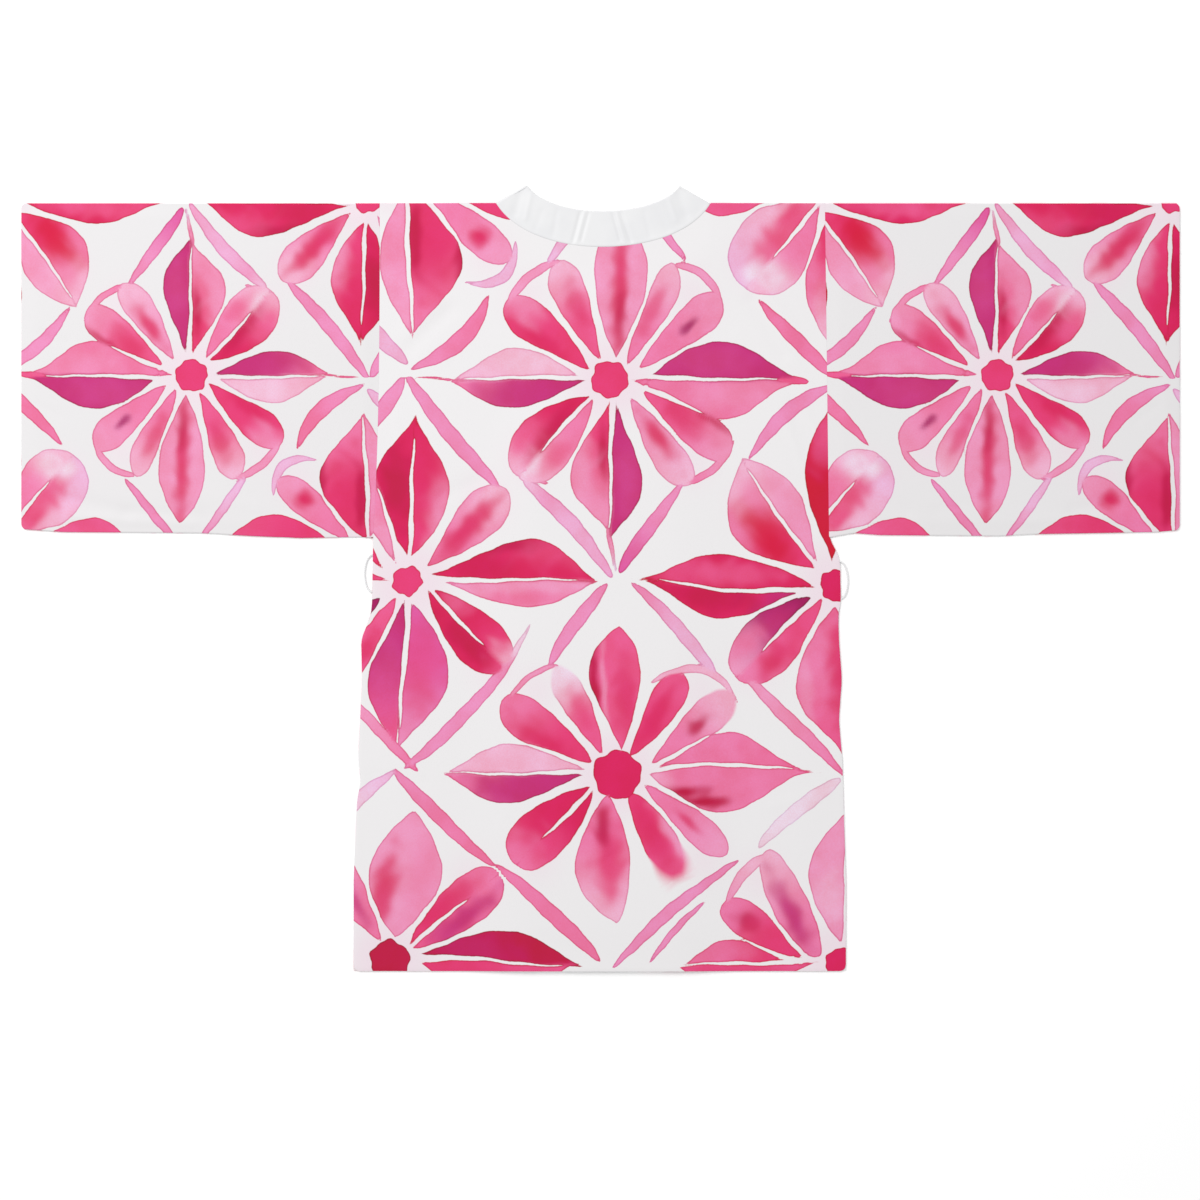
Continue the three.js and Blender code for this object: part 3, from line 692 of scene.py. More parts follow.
FLOWER_C = chart("""
P 30 3 204 0 2 47 .44 1 2 PINK bow=8 | .2 -.56 .13 .13 DEEP 1 | .33 -.78 .14 .12 DEEP 1
| 0 0 .12 2 PALE .6
P 30 3 204 0 32 2 .48 1.3 2.8 PINK bow=8 | .9 .3 .3 .9 ROSE .5
G 50 5.9 176 4.8 1.8 1.8 .5 .6 .6 bow=4.2
P 34 12 116 80 17 19 .73 .32 .55 PINK PALE wet=2 | .54 -.1 .13 .36 DEEP .85
P 12 19 66 102 16 17 .73 .32 .55 CERISE ROSE | .5 0 .35 .5 CRIMSON .75
R 34 92 120 70 4.5 4.5 .5 .26 .26 PALE bow=25
R 98 99 14 192 7 7 .5 .45 .45 BLUSH RIBBON bow=-3
P 3 24 0 148 30 22 .62 .75 .8 ROSE | .4 -.25 .3 .4 CRIMSON .7 | .42 .85 .5 .2 DEEP 1
| .45 .52 .4 .1 LIGHT .75
P -15 20 -62 109 16 14 .73 .32 .55 ROSE MIST wet=2 | .5 0 .22 .55 CERISE .7
P -25 11 -116 75 22 19 .73 .32 .55 CERISE PINK | .5 .5 .32 .5 CRIMSON .75
R -112 70 -60 110 3 3 .5 .22 .22 LIGHT bow=8
R -68 110 -11 192 7 7 .5 .45 .45 RIBBON bow=3
P -30 4 -176 1 2 29 .52 1.05 1.45 PALE
P -30 -1 -180 0 28 2 .55 1.1 1.45 MAGENTA PINK | .5 .5 .3 .6 MAGENTA .9
G -40 1 -160 1 1.2 1.8 .6 .6 .6
P -27 -13 -102 -92 2 30 .68 .42 .42 CRIMSON CERISE | .5 -.3 .28 .5 CRIMSON .8 | 1 0 .28 1.5 PINK .8
P -25 -15 -101 -92 22 2 .66 .42 .42 CRIMSON ROSE | .66 .3 .16 .5 CERISE .6 | 1 .3 .2 1 PINK .7
P -10 -20 -1 -150 17 37 .56 .6 .75 PINK PALE | .5 -.1 .34 .4 CERISE .9 | .25 -.22 .16 .2 DEEP .85
P 13 -19 60 -104 19 17 .66 .3 .35 CERISE ROSE wet=8 | .5 -.1 .45 .6 CRIMSON .6 | .62 .9 .45 .4 LIGHT .9
P 27 -10 108 -80 17 15 .73 .32 .55 PINK LIGHT | .52 0 .12 .28 CRIMSON .75
R 120 -86 -6 -194 6 6 .5 .45 .45 RIBBON bow=-6
R 88 -127 30 -188 3.8 3.8 .5 .52 .52 RIBBON bow=-3
R -124 -90 -18 -188 8 8 .55 .45 .45 PINK bow=3
""")
FLOWER_D = chart("""
P 1 -18 7 -166 2 29 .5 .8 1.2 LIGHT | .3 -.4 .3 .5 PINK .4
P 1 -18 7 -166 54 2 .5 .78 1.6 CERISE PINK | .36 .3 .3 .6 CRIMSON .6 | .3 .14 .26 .13 DEEP .85
| .47 1 .3 .14 DEEP .8
G 1 -22 7 -160 2.4 2.4 .4 .5 .5
P 22 -14 106 -87 14 20 .7 .32 .5 PINK LIGHT | .65 -.2 .1 .45 CRIMSON .95
R 110 -69 61 -110 5.5 5.5 .5 .26 .45 BLUSH bow=19
R 85 -121 6 -197 8.5 8.5 .52 .64 .64 PINK RIBBON bow=12
R -70 -112 4 -191 8 8 .5 .45 .45 BLUSH bow=-2
P 30 -2 190 -4 2 44 .5 1 1.45 CERISE ROSE
P 30 7 198 -8 30 2 .55 .95 1.45 DEEP | .3 .3 .3 .6 MAGENTA .5
G 34 5 176 -6 1.5 1.5 .4 .6 .6
P 20 15 110 87 23 2 .68 .42 .42 CERISE PINK | .5 .4 .3 .5 CRIMSON .6
P 22 14 110 86 2 26 .64 .42 .42 ROSE PINK | .5 -.5 .35 .4 MAGENTA .9
R 106 94 4 192 7 7 .5 .45 .45 PINK RIBBON bow=3
P 6 23 26 148 36 36 .5 .85 .85 LIGHT | .32 .5 .3 .35 CRIMSON .85 | .5 -.5 .4 .5 PINK .4
P -9 19 -64 106 19 19 .73 .32 .55 PINK LIGHT | .5 0 .3 .36 MAGENTA .75
R -82 108 6 190 7 7 .5 .45 .45 MIST BLUSH bow=4
""")
FLOWER_F = chart("""
P 0 20 4 152 34 2 .52 .8 .9 LIGHT | .35 .4 .2 .5 PALE .6
P -21 7 -73 113 23 14 .6 .32 .45 PINK PALE | .42 .3 .34 .4 MAGENTA .9
P -38 6 -118 60 18 17 .7 .42 .45 CERISE PINK | .66 0 .15 .5 DEEP .85 | .4 0 .3 1 CERISE .6
R -70 108 -114 58 6 6 .45 .26 .38 PALE LIGHT bow=-9
R -82 116 0 185 7.5 7.5 .5 .38 .38 MIST bow=4
P -50 4 -158 0 2 22 .56 1 1.3 CERISE PINK | .6 -.5 .3 .6 PINK .6
P -20 1 -164 -3 33 2 .66 .8 1.3 ROSE | .6 .1 .35 .3 CERISE .7
G -46 2 -150 -1 1.6 1.6 .5 .6 .6
P -14 -15 -92 -106 2 45 .58 .76 .33 PALE BLUSH | .5 -.12 .3 .45 CERISE .85 | .2 -.1 .2 .4 CERISE .8
| .86 -.1 .1 .22 MIST .9
P -14 -15 -92 -106 35 2 .68 .6 .6 PINK PALE | .76 .3 .13 .6 MIST .9 | .4 .4 .3 .6 PINK .8
R -79 -116 -6 -192 8 8 .6 .45 .3 PINK bow=-3
P -3 -21 -7 -167 2 27 .54 1 1.1 CERISE PALE | .5 -.9 .4 .4 PINK .8
""")


@dataclass(frozen=True)
class Flower:
    """A flower of the print: where its middle lies, its disc and its strokes."""

    x: float
    y: float
    disc: float
    tone: Tone
    strokes: tuple[Stroke, ...]


@dataclass
class Paint:
    """What the print puts on each point.

    How far a point is inside a petal and inside what is painted over the petals, its signed
    distances from the nearest gap and white line with half their widths, and its colours.
    """

    edge: np.ndarray
    petal: np.ndarray
    over: np.ndarray
    gap: np.ndarray
    gap_half: np.ndarray
    line: np.ndarray
    line_half: np.ndarray
    blur: np.ndarray
    haze: np.ndarray
    ink: np.ndarray

    LENGTHS = ("edge", "petal", "over", "gap", "gap_half", "line", "line_half", "blur")

    @classmethod
    def bare(cls, count: int, outside: float) -> "Paint":
        """Unpainted points."""
        far, none, ink = np.full(count, outside), np.zeros(count), linear(Tone.PINK.value)
        lengths = {name: far.copy() for name in ("edge", "petal", "over", "gap_half", "line_half")}
        rest = {name: none.copy() for name in ("gap", "line", "blur", "haze")}
        return cls(**lengths, **rest, ink=np.tile(ink, (count, 1)))

    def take(self, places: np.ndarray, other: "Paint", chosen: np.ndarray) -> None:
        """Copies the chosen points of another paint to places in this one."""
        for name in (*self.LENGTHS, "ink"):
            getattr(self, name)[places] = getattr(other, name)[chosen]


@dataclass(frozen=True)
class FlowerPrint:
    """The print: flowers in a net of ribbons, drawn by formula, in millimetres."""

    unit: float = 1.1
    gap_root: float = 3.0
    white_gap: float = 5.0
    gap_narrows: float = 56.0
    gap_closes: float = 112.0
    gap_least: float = 1.4
    gap_shut: float = 3.0
    haze_strength: float = 0.85
    haze_reach: float = 44.0
    bleed: float = 6.0
    flow_edge: float = 2.0
    disc_waves: tuple[tuple[float, float], ...] = ((0.9, 5), (0.7, 9))
    haze_fall: float = 4.0
    haze_spots: tuple[tuple[float, float], ...] = ((82, 84), (-82, 84), (-82, -84), (84, -84))
    haze_spot_reach: float = 24.0
    haze_spot_strength: float = 0.5
    drift_across: tuple[Wave, ...] = (Wave(1.1, 0.021, 0.052), Wave(0.5, 0.19, -0.14))
    drift_along: tuple[Wave, ...] = (Wave(1.1, 0.047, -0.025, 1), Wave(0.5, 0.16, 0.2, 2))
    middle_flower: int = 2
    reach_x: float = 215.0
    reach_y: float = 205.0
    outside: float = -30.0
    gloss: float = 0.016
    darkest: float = 0.003
    flowers: tuple[Flower, ...] = (
        Flower(-215.0, 445.0, 20, Tone.DEEP, FLOWER_D),
        Flower(261.0, 435.6, 18, Tone.CRIMSON, FLOWER_F),
        Flower(9.4, 219.0, 19, Tone.CERISE, FLOWER_A),
        Flower(-211.5, -3.8, 15, Tone.CERISE, FLOWER_B),
        Flower(258.5, -7.7, 16, Tone.CRIMSON, FLOWER_E),
        Flower(19.4, -215.8, 24, Tone.CRIMSON, FLOWER_C),
        Flower(-232.7, -420.2, 20, Tone.DEEP, FLOWER_D),
        Flower(264.6, -424.6, 15, Tone.CRIMSON, FLOWER_F),
    )

    def one(self, flower: Flower, x: np.ndarray, y: np.ndarray) -> Paint:
        """Paints one flower on points given in print units from its middle."""
        paint = Paint.bare(len(x), self.outside)
        radius = np.hypot(x, y)
        first, flow, ink = paint.petal, paint.over, paint.ink
        second = first.copy()
        next_ink, flow_ink = ink.copy(), ink.copy()
        parity, side = np.ones(len(x)), 1.0
        for stroke in flower.strokes:
            if stroke.brush is Brush.RESERVE:
                away, half = stroke.line(x, y)
                nearer = np.abs(away) - half < np.abs(paint.line) - paint.line_half
                paint.line[nearer], paint.line_half[nearer] = away[nearer], half[nearer]
                continue
            inside, tone, wet = stroke.paint(x, y)
            if stroke.brush is Brush.RIBBON:
                nearer = inside > flow
                flow_ink[nearer] = tone[nearer]
                flow[nearer] = inside[nearer]
                continue
            side = -side
            nearer = inside > first
            behind = ~nearer & (inside > second)
            next_ink[nearer], next_ink[behind] = ink[nearer], tone[behind]
            second = np.where(nearer, first, np.maximum(second, inside))
            ink[nearer], first[nearer], parity[nearer] = tone[nearer], inside[nearer], side
            paint.blur[nearer] = wet[nearer]
        paint.gap = parity * (first - second) / 2
        ink = mix(ink, next_ink, (0.5 - 0.5 * smoothstep(first - second, 0, self.bleed))[:, None])
        widens = np.clip((radius - flower.disc) / (self.gap_narrows - flower.disc), 0, 1)
        narrows = np.clip((radius - self.gap_narrows) / (self.gap_closes - self.gap_narrows), 0, 1)
        gap = mix(self.gap_root, self.white_gap, widens) * (1 - narrows)
        paint.gap_half = gap / 2 - self.gap_shut * np.maximum(self.gap_least - gap, 0)
        apart = np.abs(paint.gap) - paint.gap_half
        kept = np.abs(paint.line) - paint.line_half
        petal = np.minimum(np.minimum(first, apart), kept)
        ink = mix(ink, flow_ink, smoothstep(flow - petal, -self.flow_edge, self.flow_edge)[:, None])
        paint.blur[flow > petal] = 0
        turn = np.arctan2(y, x)
        disc = flower.disc - radius
        for (rise, lobes), start in zip(self.disc_waves, (flower.x, flower.y)):
            disc = disc + rise * np.sin(lobes * turn + start)
        paint.ink = np.where((disc > np.maximum(petal, flow))[:, None], linear(flower.tone.value), ink)
        paint.over = np.maximum(flow, disc)
        paint.edge = np.maximum(petal, paint.over)
        paint.haze = self.haze_strength * np.exp(-((radius / self.haze_reach) ** self.haze_fall))
        for across, along in self.haze_spots:
            off = ((x - across) ** 2 + (y - along) ** 2) / self.haze_spot_reach**2
            paint.haze = np.maximum(paint.haze, self.haze_spot_strength * np.exp(-off))
        return paint

    def at(self, x: np.ndarray, y: np.ndarray, scale: float = 1.0) -> Paint:
        """Paints points.

        Args:
            x: Places across the back, in millimetres.
            y: Places along it.
            scale: Size of the print against the back's.

        Returns:
            The paint on each point, with lengths in millimetres on the cloth.
        """
        drifts = [sum(wave.at(x, y) for wave in waves) for waves in (self.drift_across, self.drift_along)]
        x, y = x + drifts[0], y + drifts[1]
        whole = Paint.bare(len(x), self.outside)
        for flower in self.flowers:
            u, v = (x - flower.x) / self.unit, (y - flower.y) / self.unit
            near = np.flatnonzero((np.abs(u) < self.reach_x) & (np.abs(v) < self.reach_y))
            if not len(near):
                continue
            part = self.one(flower, u[near], v[near])
            better = part.edge > whole.edge[near]
            whole.take(near[better], part, better)
            whole.haze[near] = np.maximum(whole.haze[near], part.haze)
        for name in Paint.LENGTHS:
            setattr(whole, name, getattr(whole, name) * self.unit * scale)
        whole.ink = np.maximum(whole.ink - self.gloss, self.darkest)
        return whole

    def turned(self, x: np.ndarray, y: np.ndarray, middle: Sequence[float], scale: float) -> Paint:
        """Paints points with the print turned round and resized.

        Args:
            x: Places across, in millimetres.
            y: Places along.
            middle: Where the back's middle flower comes to lie.
            scale: Size of the print against the back's.

        Returns:
            The paint on each point.
        """
        flower = self.flowers[self.middle_flower]
        u, v = flower.x - (x - middle[0]) / scale, flower.y - (y - middle[1]) / scale
        return self.at(u, v, scale)


PRINT = FlowerPrint()


class NodeTree:
    """Short calls that add nodes to a tree and link them."""

    def __init__(self, tree: bpy.types.NodeTree) -> None:
        """Takes the tree."""
        self.tree = tree

    def feed(self, socket: Socket, value: object) -> None:
        """Links a socket, or sets its value where `value` is no socket."""
        if isinstance(value, Socket):
            self.tree.links.new(value, socket)
        else:
            socket.default_value = value

    def node(self, kind: str, settings: dict[str, str] | None = None, **inputs: object) -> bpy.types.Node:
        """Adds a node.

        Args:
            kind: Its type.
            settings: Values of its own settings.
            inputs: Links or values for its inputs, named with _ for a space.

        Returns:
            The node.
        """
        node = self.tree.nodes.new(kind)
        for name, value in (settings or {}).items():
            setattr(node, name, value)
        for name, value in inputs.items():
            self.feed(node.inputs[name.replace("_", " ")], value)
        return node

    def math(self, operation: str, *values: object) -> Socket:
        """Works out one number from others."""
        node = self.node("ShaderNodeMath", {"operation": operation})
        for socket, value in zip(node.inputs, values):
            self.feed(socket, value)
        return node.outputs[0]


class Shader(NodeTree):
    """One material's tree, with a Principled surface and the object's own coordinates."""

    UNEVEN = 0.6
    MIX_COLOURS = (0, 6, 7)
    MIX_RESULT = 2

    def __init__(self, name: str) -> None:
        """Makes an empty material."""
        self.material = bpy.data.materials.new(name)
        self.material.use_nodes = True
        super().__init__(self.material.node_tree)
        self.surface = self.tree.nodes["Principled BSDF"]
        self.place = self.node("ShaderNodeTexCoord").outputs["Object"]

    def attribute(self, name: str, output: str = "Fac") -> Socket:
        """Reads one of the mesh's own attributes."""
        return self.node("ShaderNodeAttribute", {"attribute_name": name}).outputs[output]

    def noise(self, scale: float, detail: float) -> Socket:
        """Noise of about 0.5 on average."""
        return self.node("ShaderNodeTexNoise", Vector=self.place, Scale=scale, Detail=detail).outputs["Fac"]

    def weave(self, scale: float, direction: str) -> Socket:
        """Parallel yarns across one direction."""
        settings = {"bands_direction": direction}
        yarns = self.node(
            "ShaderNodeTexWave", settings, Vector=self.place, Scale=scale, Distortion=self.UNEVEN
        )
        return yarns.outputs["Fac"]

    def ramp(self, value: object, low: object, high: object, to_low: float, to_high: float) -> Socket:
        """Eases a number from one range to another."""
        ranges = {"From_Min": low, "From_Max": high, "To_Min": to_low, "To_Max": to_high}
        settings = {"interpolation_type": "SMOOTHSTEP"}
        return self.node("ShaderNodeMapRange", settings, Value=value, **ranges).outputs["Result"]

    def blend(self, share: object, first: object, second: object, kind: str = "MIX") -> Socket:
        """Mixes two colours."""
        node = self.node("ShaderNodeMix", {"data_type": "RGBA", "blend_type": kind})
        for place, value in zip(self.MIX_COLOURS, (share, first, second)):
            self.feed(node.inputs[place], value)
        return node.outputs[self.MIX_RESULT]

    def join(self, red: Socket, green: Socket, blue: Socket) -> Socket:
        """Makes a colour from its red, green and blue."""
        return self.node("ShaderNodeCombineColor", Red=red, Green=green, Blue=blue).outputs[0]

    def bump(self, height: Socket, depth: float, strength: float) -> None:
        """Raises the surface by a height map, `depth` metres from low to high."""
        node = self.node("ShaderNodeBump", Strength=strength, Distance=depth, Height=height)
        self.feed(self.surface.inputs["Normal"], node.outputs["Normal"])


@dataclass(frozen=True)
class Finish:
    """A plain finish: its white, how much the light brightens it, and how it shines."""

    name: str
    white: tuple[int, int, int]
    light: float
    roughness: float
    specular: float
    sheen: float

    def seen(self, tone: Sequence[float]) -> tuple[float, float, float, float]:
        """A colour for a socket, which the light brings to the sRGB one."""
        return (*(linear(tone) / self.light), 1.0)

    def close(self, make: Shader, colour: object) -> bpy.types.Material:
        """Gives the surface its colour, and its constants on its own sockets."""
        surface = make.surface.inputs
        make.feed(surface["Base Color"], colour)
        surface["Roughness"].default_value = self.roughness
        surface["Specular IOR Level"].default_value = self.specular
        surface["Sheen Weight"].default_value = self.sheen
        return make.material

    def material(self) -> bpy.types.Material:
        """Builds the material."""
        return self.close(Shader(self.name), self.seen(self.white))


@dataclass(frozen=True)
class PrintedSatin(Finish):
    """White satin with the print in watercolour inks."""

    light: float = 1.12
    roughness: float = 0.62
    specular: float = 0.22
    sheen: float = 0.08
    haze: tuple[int, int, int] = (241, 222, 232)
    soft_edge: float = 0.45
    wobble: float = 1.1
    wobble_noise: tuple[float, float] = (240.0, 2.0)
    rim_width: float = 2.1
    crisp_below: float = 1.5
    rim_strength: float = 0.78
    pool_noise: tuple[float, float] = (26.0, 3.0)
    pool_range: tuple[float, float] = (0.3, 0.72)
    pool_deep: tuple[float, float] = (1.14, 0.9)
    pool_red: tuple[float, float] = (1.02, 0.98)
    grain_noise: tuple[float, float] = (620.0, 3.0)
    grain: tuple[float, float, float, float] = (0.25, 0.75, 0.93, 1.07)
    show_through: float = 0.1
    yarn_scale: float = 520.0
    yarn_depth: float = 0.00004
    yarn_strength: float = 0.35

    def edge(self, make: Shader) -> Socket:
        """How far a point is inside the print's outlines, in millimetres, with an uneven edge."""
        apart, kept = (
            make.math("SUBTRACT", make.math("ABSOLUTE", make.attribute(name)), make.attribute(f"{name}_half"))
            for name in ("gap", "line")
        )
        petal = make.math("MINIMUM", make.attribute("petal"), make.math("MINIMUM", apart, kept))
        edge = make.math("MAXIMUM", petal, make.attribute("over"))
        shift = make.math("SUBTRACT", make.noise(*self.wobble_noise), 0.5)
        return make.math("ADD", edge, make.math("MULTIPLY", shift, self.wobble))

    def ink(self, make: Shader, edge: Socket, blur: Socket) -> Socket:
        """Colour of the ink, which pools, is grainy and dries darker at a crisp rim."""
        noise = make.noise(*self.pool_noise)
        pool, red = (make.ramp(noise, *self.pool_range, *ends) for ends in (self.pool_deep, self.pool_red))
        deep = make.math("MULTIPLY", pool, make.ramp(make.noise(*self.grain_noise), *self.grain))
        red, deep = (make.math("DIVIDE", part, self.light) for part in (red, deep))
        ink = make.blend(1.0, make.attribute("ink", "Color"), make.join(red, deep, deep), "MULTIPLY")
        crisp = make.ramp(blur, 0.0, self.crisp_below, 1.0, 0.0)
        rim = make.math("MULTIPLY", crisp, make.ramp(edge, 0.0, self.rim_width, self.rim_strength, 0.0))
        return make.blend(rim, ink, make.blend(1.0, ink, ink, "MULTIPLY"))

    def material(self) -> bpy.types.Material:
        """Builds the material, which reads the attributes that `paint_values` makes."""
        make = Shader(self.name)
        edge, blur = self.edge(make), make.attribute("blur")
        soft = make.math("ADD", blur, self.soft_edge)
        mask = make.ramp(edge, make.math("MULTIPLY", soft, -1.0), soft, 0.0, 1.0)
        white, haze = self.seen(self.white), self.seen(self.haze)
        ground = make.blend(make.attribute("haze"), white, haze)
        colour = make.blend(mask, ground, self.ink(make, edge, blur))
        faint = make.blend(self.show_through, white, colour)
        yarns = make.math("ADD", make.weave(self.yarn_scale, "X"), make.weave(self.yarn_scale, "Y"))
        make.bump(yarns, self.yarn_depth, self.yarn_strength)
        return self.close(make, make.blend(make.attribute("inside"), colour, faint))


@dataclass(frozen=True)
class BandSatin(Finish):
    """Plain white satin, smoother than the printed cloth."""

    name: str = "plain_band_satin"
    white: tuple[int, int, int] = (243, 243, 244)
    light: float = 1.19
    roughness: float = 0.42
    specular: float = 0.3
    sheen: float = 0.05
    shade: tuple[int, int, int] = (238, 238, 240)
    cloud_noise: tuple[float, float] = (22.0, 3.0)
    cloud_range: tuple[float, float] = (0.3, 0.7)
    yarn_scale: float = 640.0
    yarn_depth: float = 0.00002
    yarn_strength: float = 0.08

    def material(self) -> bpy.types.Material:
        """Builds the material."""
        make = Shader(self.name)
        cloud = make.ramp(make.noise(*self.cloud_noise), *self.cloud_range, 0.0, 1.0)
        make.bump(make.weave(self.yarn_scale, "DIAGONAL"), self.yarn_depth, self.yarn_strength)
        return self.close(make, make.blend(cloud, self.seen(self.white), self.seen(self.shade)))


@dataclass(frozen=True)
class LoopThread(Finish):
    """White twisted thread."""

    name: str = "white_loop_thread"
    white: tuple[int, int, int] = (244, 244, 245)
    light: float = 1.12
    roughness: float = 0.75
    specular: float = 0.2
    sheen: float = 0.2
    fibre_noise: tuple[float, float] = (2600.0, 2.0)
    fibre: tuple[float, float, float, float] = (0.3, 0.7, 0.93, 1.03)
    fuzz_noise: tuple[float, float] = (3200.0, 2.0)
    fuzz_depth: float = 0.00005
    fuzz_strength: float = 0.5

    def material(self) -> bpy.types.Material:
        """Builds the material."""
        make = Shader(self.name)
        fibre = make.ramp(make.noise(*self.fibre_noise), *self.fibre)
        make.bump(make.noise(*self.fuzz_noise), self.fuzz_depth, self.fuzz_strength)
        grey = make.join(fibre, fibre, fibre)
        return self.close(make, make.blend(1.0, self.seen(self.white), grey, "MULTIPLY"))


def add(name: str, data: bpy.types.ID) -> bpy.types.Object:
    """Puts a new object into the scene."""
    item = bpy.data.objects.new(name, data)
    bpy.context.scene.collection.objects.link(item)
    return item


@dataclass
class Shape:
    """A mesh in the making: points in millimetres, faces by size, and values on the points."""

    points: np.ndarray
    faces: list[np.ndarray]
    values: dict[str, np.ndarray] = field(default_factory=dict)
    sharp: float = 40.0

    def volume(self) -> float:
        """Volume inside the faces, negative where they face inwards."""
        total = 0.0
        for group in self.faces:
            first = self.points[group[:, 0]]
            for k in range(1, group.shape[1] - 1):
                turn = np.cross(self.points[group[:, k]], self.points[group[:, k + 1]])
                total += float(np.einsum("ij,ij->", first, turn)) / 6
        return total

    def build(self, name: str, material: bpy.types.Material) -> bpy.types.Object:
        """Makes the Blender object, in metres, its faces outwards.

        Args:
            name: The piece's name.
            material: Its finish.

        Returns:
            The object, linked to the scene.
        """
        groups = self.faces if self.volume() > 0 else [group[:, ::-1] for group in self.faces]
        mesh = bpy.data.meshes.new(name)
        loops = np.concatenate([group.ravel() for group in groups])
        sizes = np.concatenate([np.full(len(group), group.shape[1]) for group in groups])
        starts = np.concatenate([[0], np.cumsum(sizes)[:-1]])
        mesh.vertices.add(len(self.points))
        mesh.vertices.foreach_set("co", (self.points * MM).astype(np.float32).ravel())
        mesh.loops.add(len(loops))
        mesh.loops.foreach_set("vertex_index", loops.astype(np.int32))
        mesh.polygons.add(len(sizes))
        mesh.polygons.foreach_set("loop_start", starts.astype(np.int32))
        mesh.update(calc_edges=True)
        mesh.validate()
        mesh.shade_smooth()
        mesh.set_sharp_from_angle(angle=math.radians(self.sharp))
        for label, value in self.values.items():
            if value.ndim == 2:
                layer = mesh.attributes.new(label, "FLOAT_COLOR", "POINT")
                full = np.concatenate([value, np.ones((len(value), 1))], 1)
                layer.data.foreach_set("color", full.astype(np.float32).ravel())
            else:
                layer = mesh.attributes.new(label, "FLOAT", "POINT")
                layer.data.foreach_set("value", value.astype(np.float32))
        mesh.materials.append(material)
        return add(name, mesh)


def hand_over(piece: bpy.types.Object, node: str) -> None:
    """Puts a piece in place of its CAD node."""
    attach(piece, BODY)
    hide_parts(node)
    LOG.info("%s: %d faces in place of %s", piece.name, len(piece.data.polygons), node)


def paint_values(paint: Paint, inside: np.ndarray) -> dict[str, np.ndarray]:
    """Turns paint on points into mesh attributes, with 1 in `inside` on the cloth's inner face."""
    values = {name: getattr(paint, name) for name in (*Paint.LENGTHS[1:], "haze", "ink")}
    return values | {"inside": np.ravel(inside).astype(float)}


def ring_faces(rings: np.ndarray) -> np.ndarray:
    """Quads that join rings of point numbers, each to the next."""
    following = np.roll(rings, -1, 1)
    return np.stack([rings[:-1], following[:-1], following[1:], rings[1:]], 2).reshape(-1, 4)


def panel_faces(rows: int, columns: int, step: int) -> list[np.ndarray]:
    """Faces of a closed panel: a fine grid, a grid `step` times coarser behind it, and a rim.

    Args:
        rows: Points of the fine grid along.
        columns: Points of the fine grid across.
        step: Fine steps to one coarse step.

    Returns:
        The faces, grouped by size. The coarse grid's points follow the fine grid's.
    """

    def quads(index: np.ndarray) -> np.ndarray:
        """Four-sided faces of a grid of point numbers."""
        corners = (index[:-1, :-1], index[:-1, 1:], index[1:, 1:], index[1:, :-1])
        return np.stack([corner.ravel() for corner in corners], 1)

    fine = np.arange(rows * columns).reshape(rows, columns)
    coarse_shape = ((rows - 1) // step + 1, (columns - 1) // step + 1)
    coarse = rows * columns + np.arange(coarse_shape[0] * coarse_shape[1]).reshape(coarse_shape)
    edges = (
        (fine[0, ::-1], coarse[0, ::-1]),
        (fine[-1], coarse[-1]),
        (fine[:, 0], coarse[:, 0]),
        (fine[::-1, -1], coarse[::-1, -1]),
    )
    rim = []
    for outer, inner in edges:
        for k in range(len(inner) - 1):
            rim.append([*outer[k * step : (k + 1) * step + 1], inner[k + 1], inner[k]])
    return [quads(fine), quads(coarse)[:, ::-1], np.array(rim)]


@dataclass(frozen=True)
class ClothWall:
    """How the shells of cloth are made, in millimetres."""

    thickness: float = 0.7
    edge_roll: float = 0.35
    roll_reach: float = 1.6
    seam_gap: float = 0.02
    seam_roll: float = 0.3
    tuck: float = 0.9

    def roll(self, inset: np.ndarray) -> np.ndarray:
        """How far the cloth turns away at its edges."""
        return self.edge_roll * np.exp(-((np.maximum(inset, 0) / self.roll_reach) ** 2))


WALL = ClothWall()


def panel(outer: np.ndarray, step: int, face: int) -> Shape:
    """Closes a panel of cloth and prints it.

    Args:
        outer: Points of its printed face, in rows.
        step: Fine steps to one coarse step of its plain face.
        face: 1 where the printed face looks up, and -1 where it looks down.

    Returns:
        The shell.
    """
    rows, columns = outer.shape[:2]
    inner = outer[::step, ::step] - (0, 0, face * WALL.thickness)
    points = np.concatenate([outer.reshape(-1, 3), inner.reshape(-1, 3)])
    paint = PRINT.at(face * points[:, 0], points[:, 1])
    inside = np.arange(len(points)) >= rows * columns
    return Shape(points, panel_faces(rows, columns, step), paint_values(paint, inside))


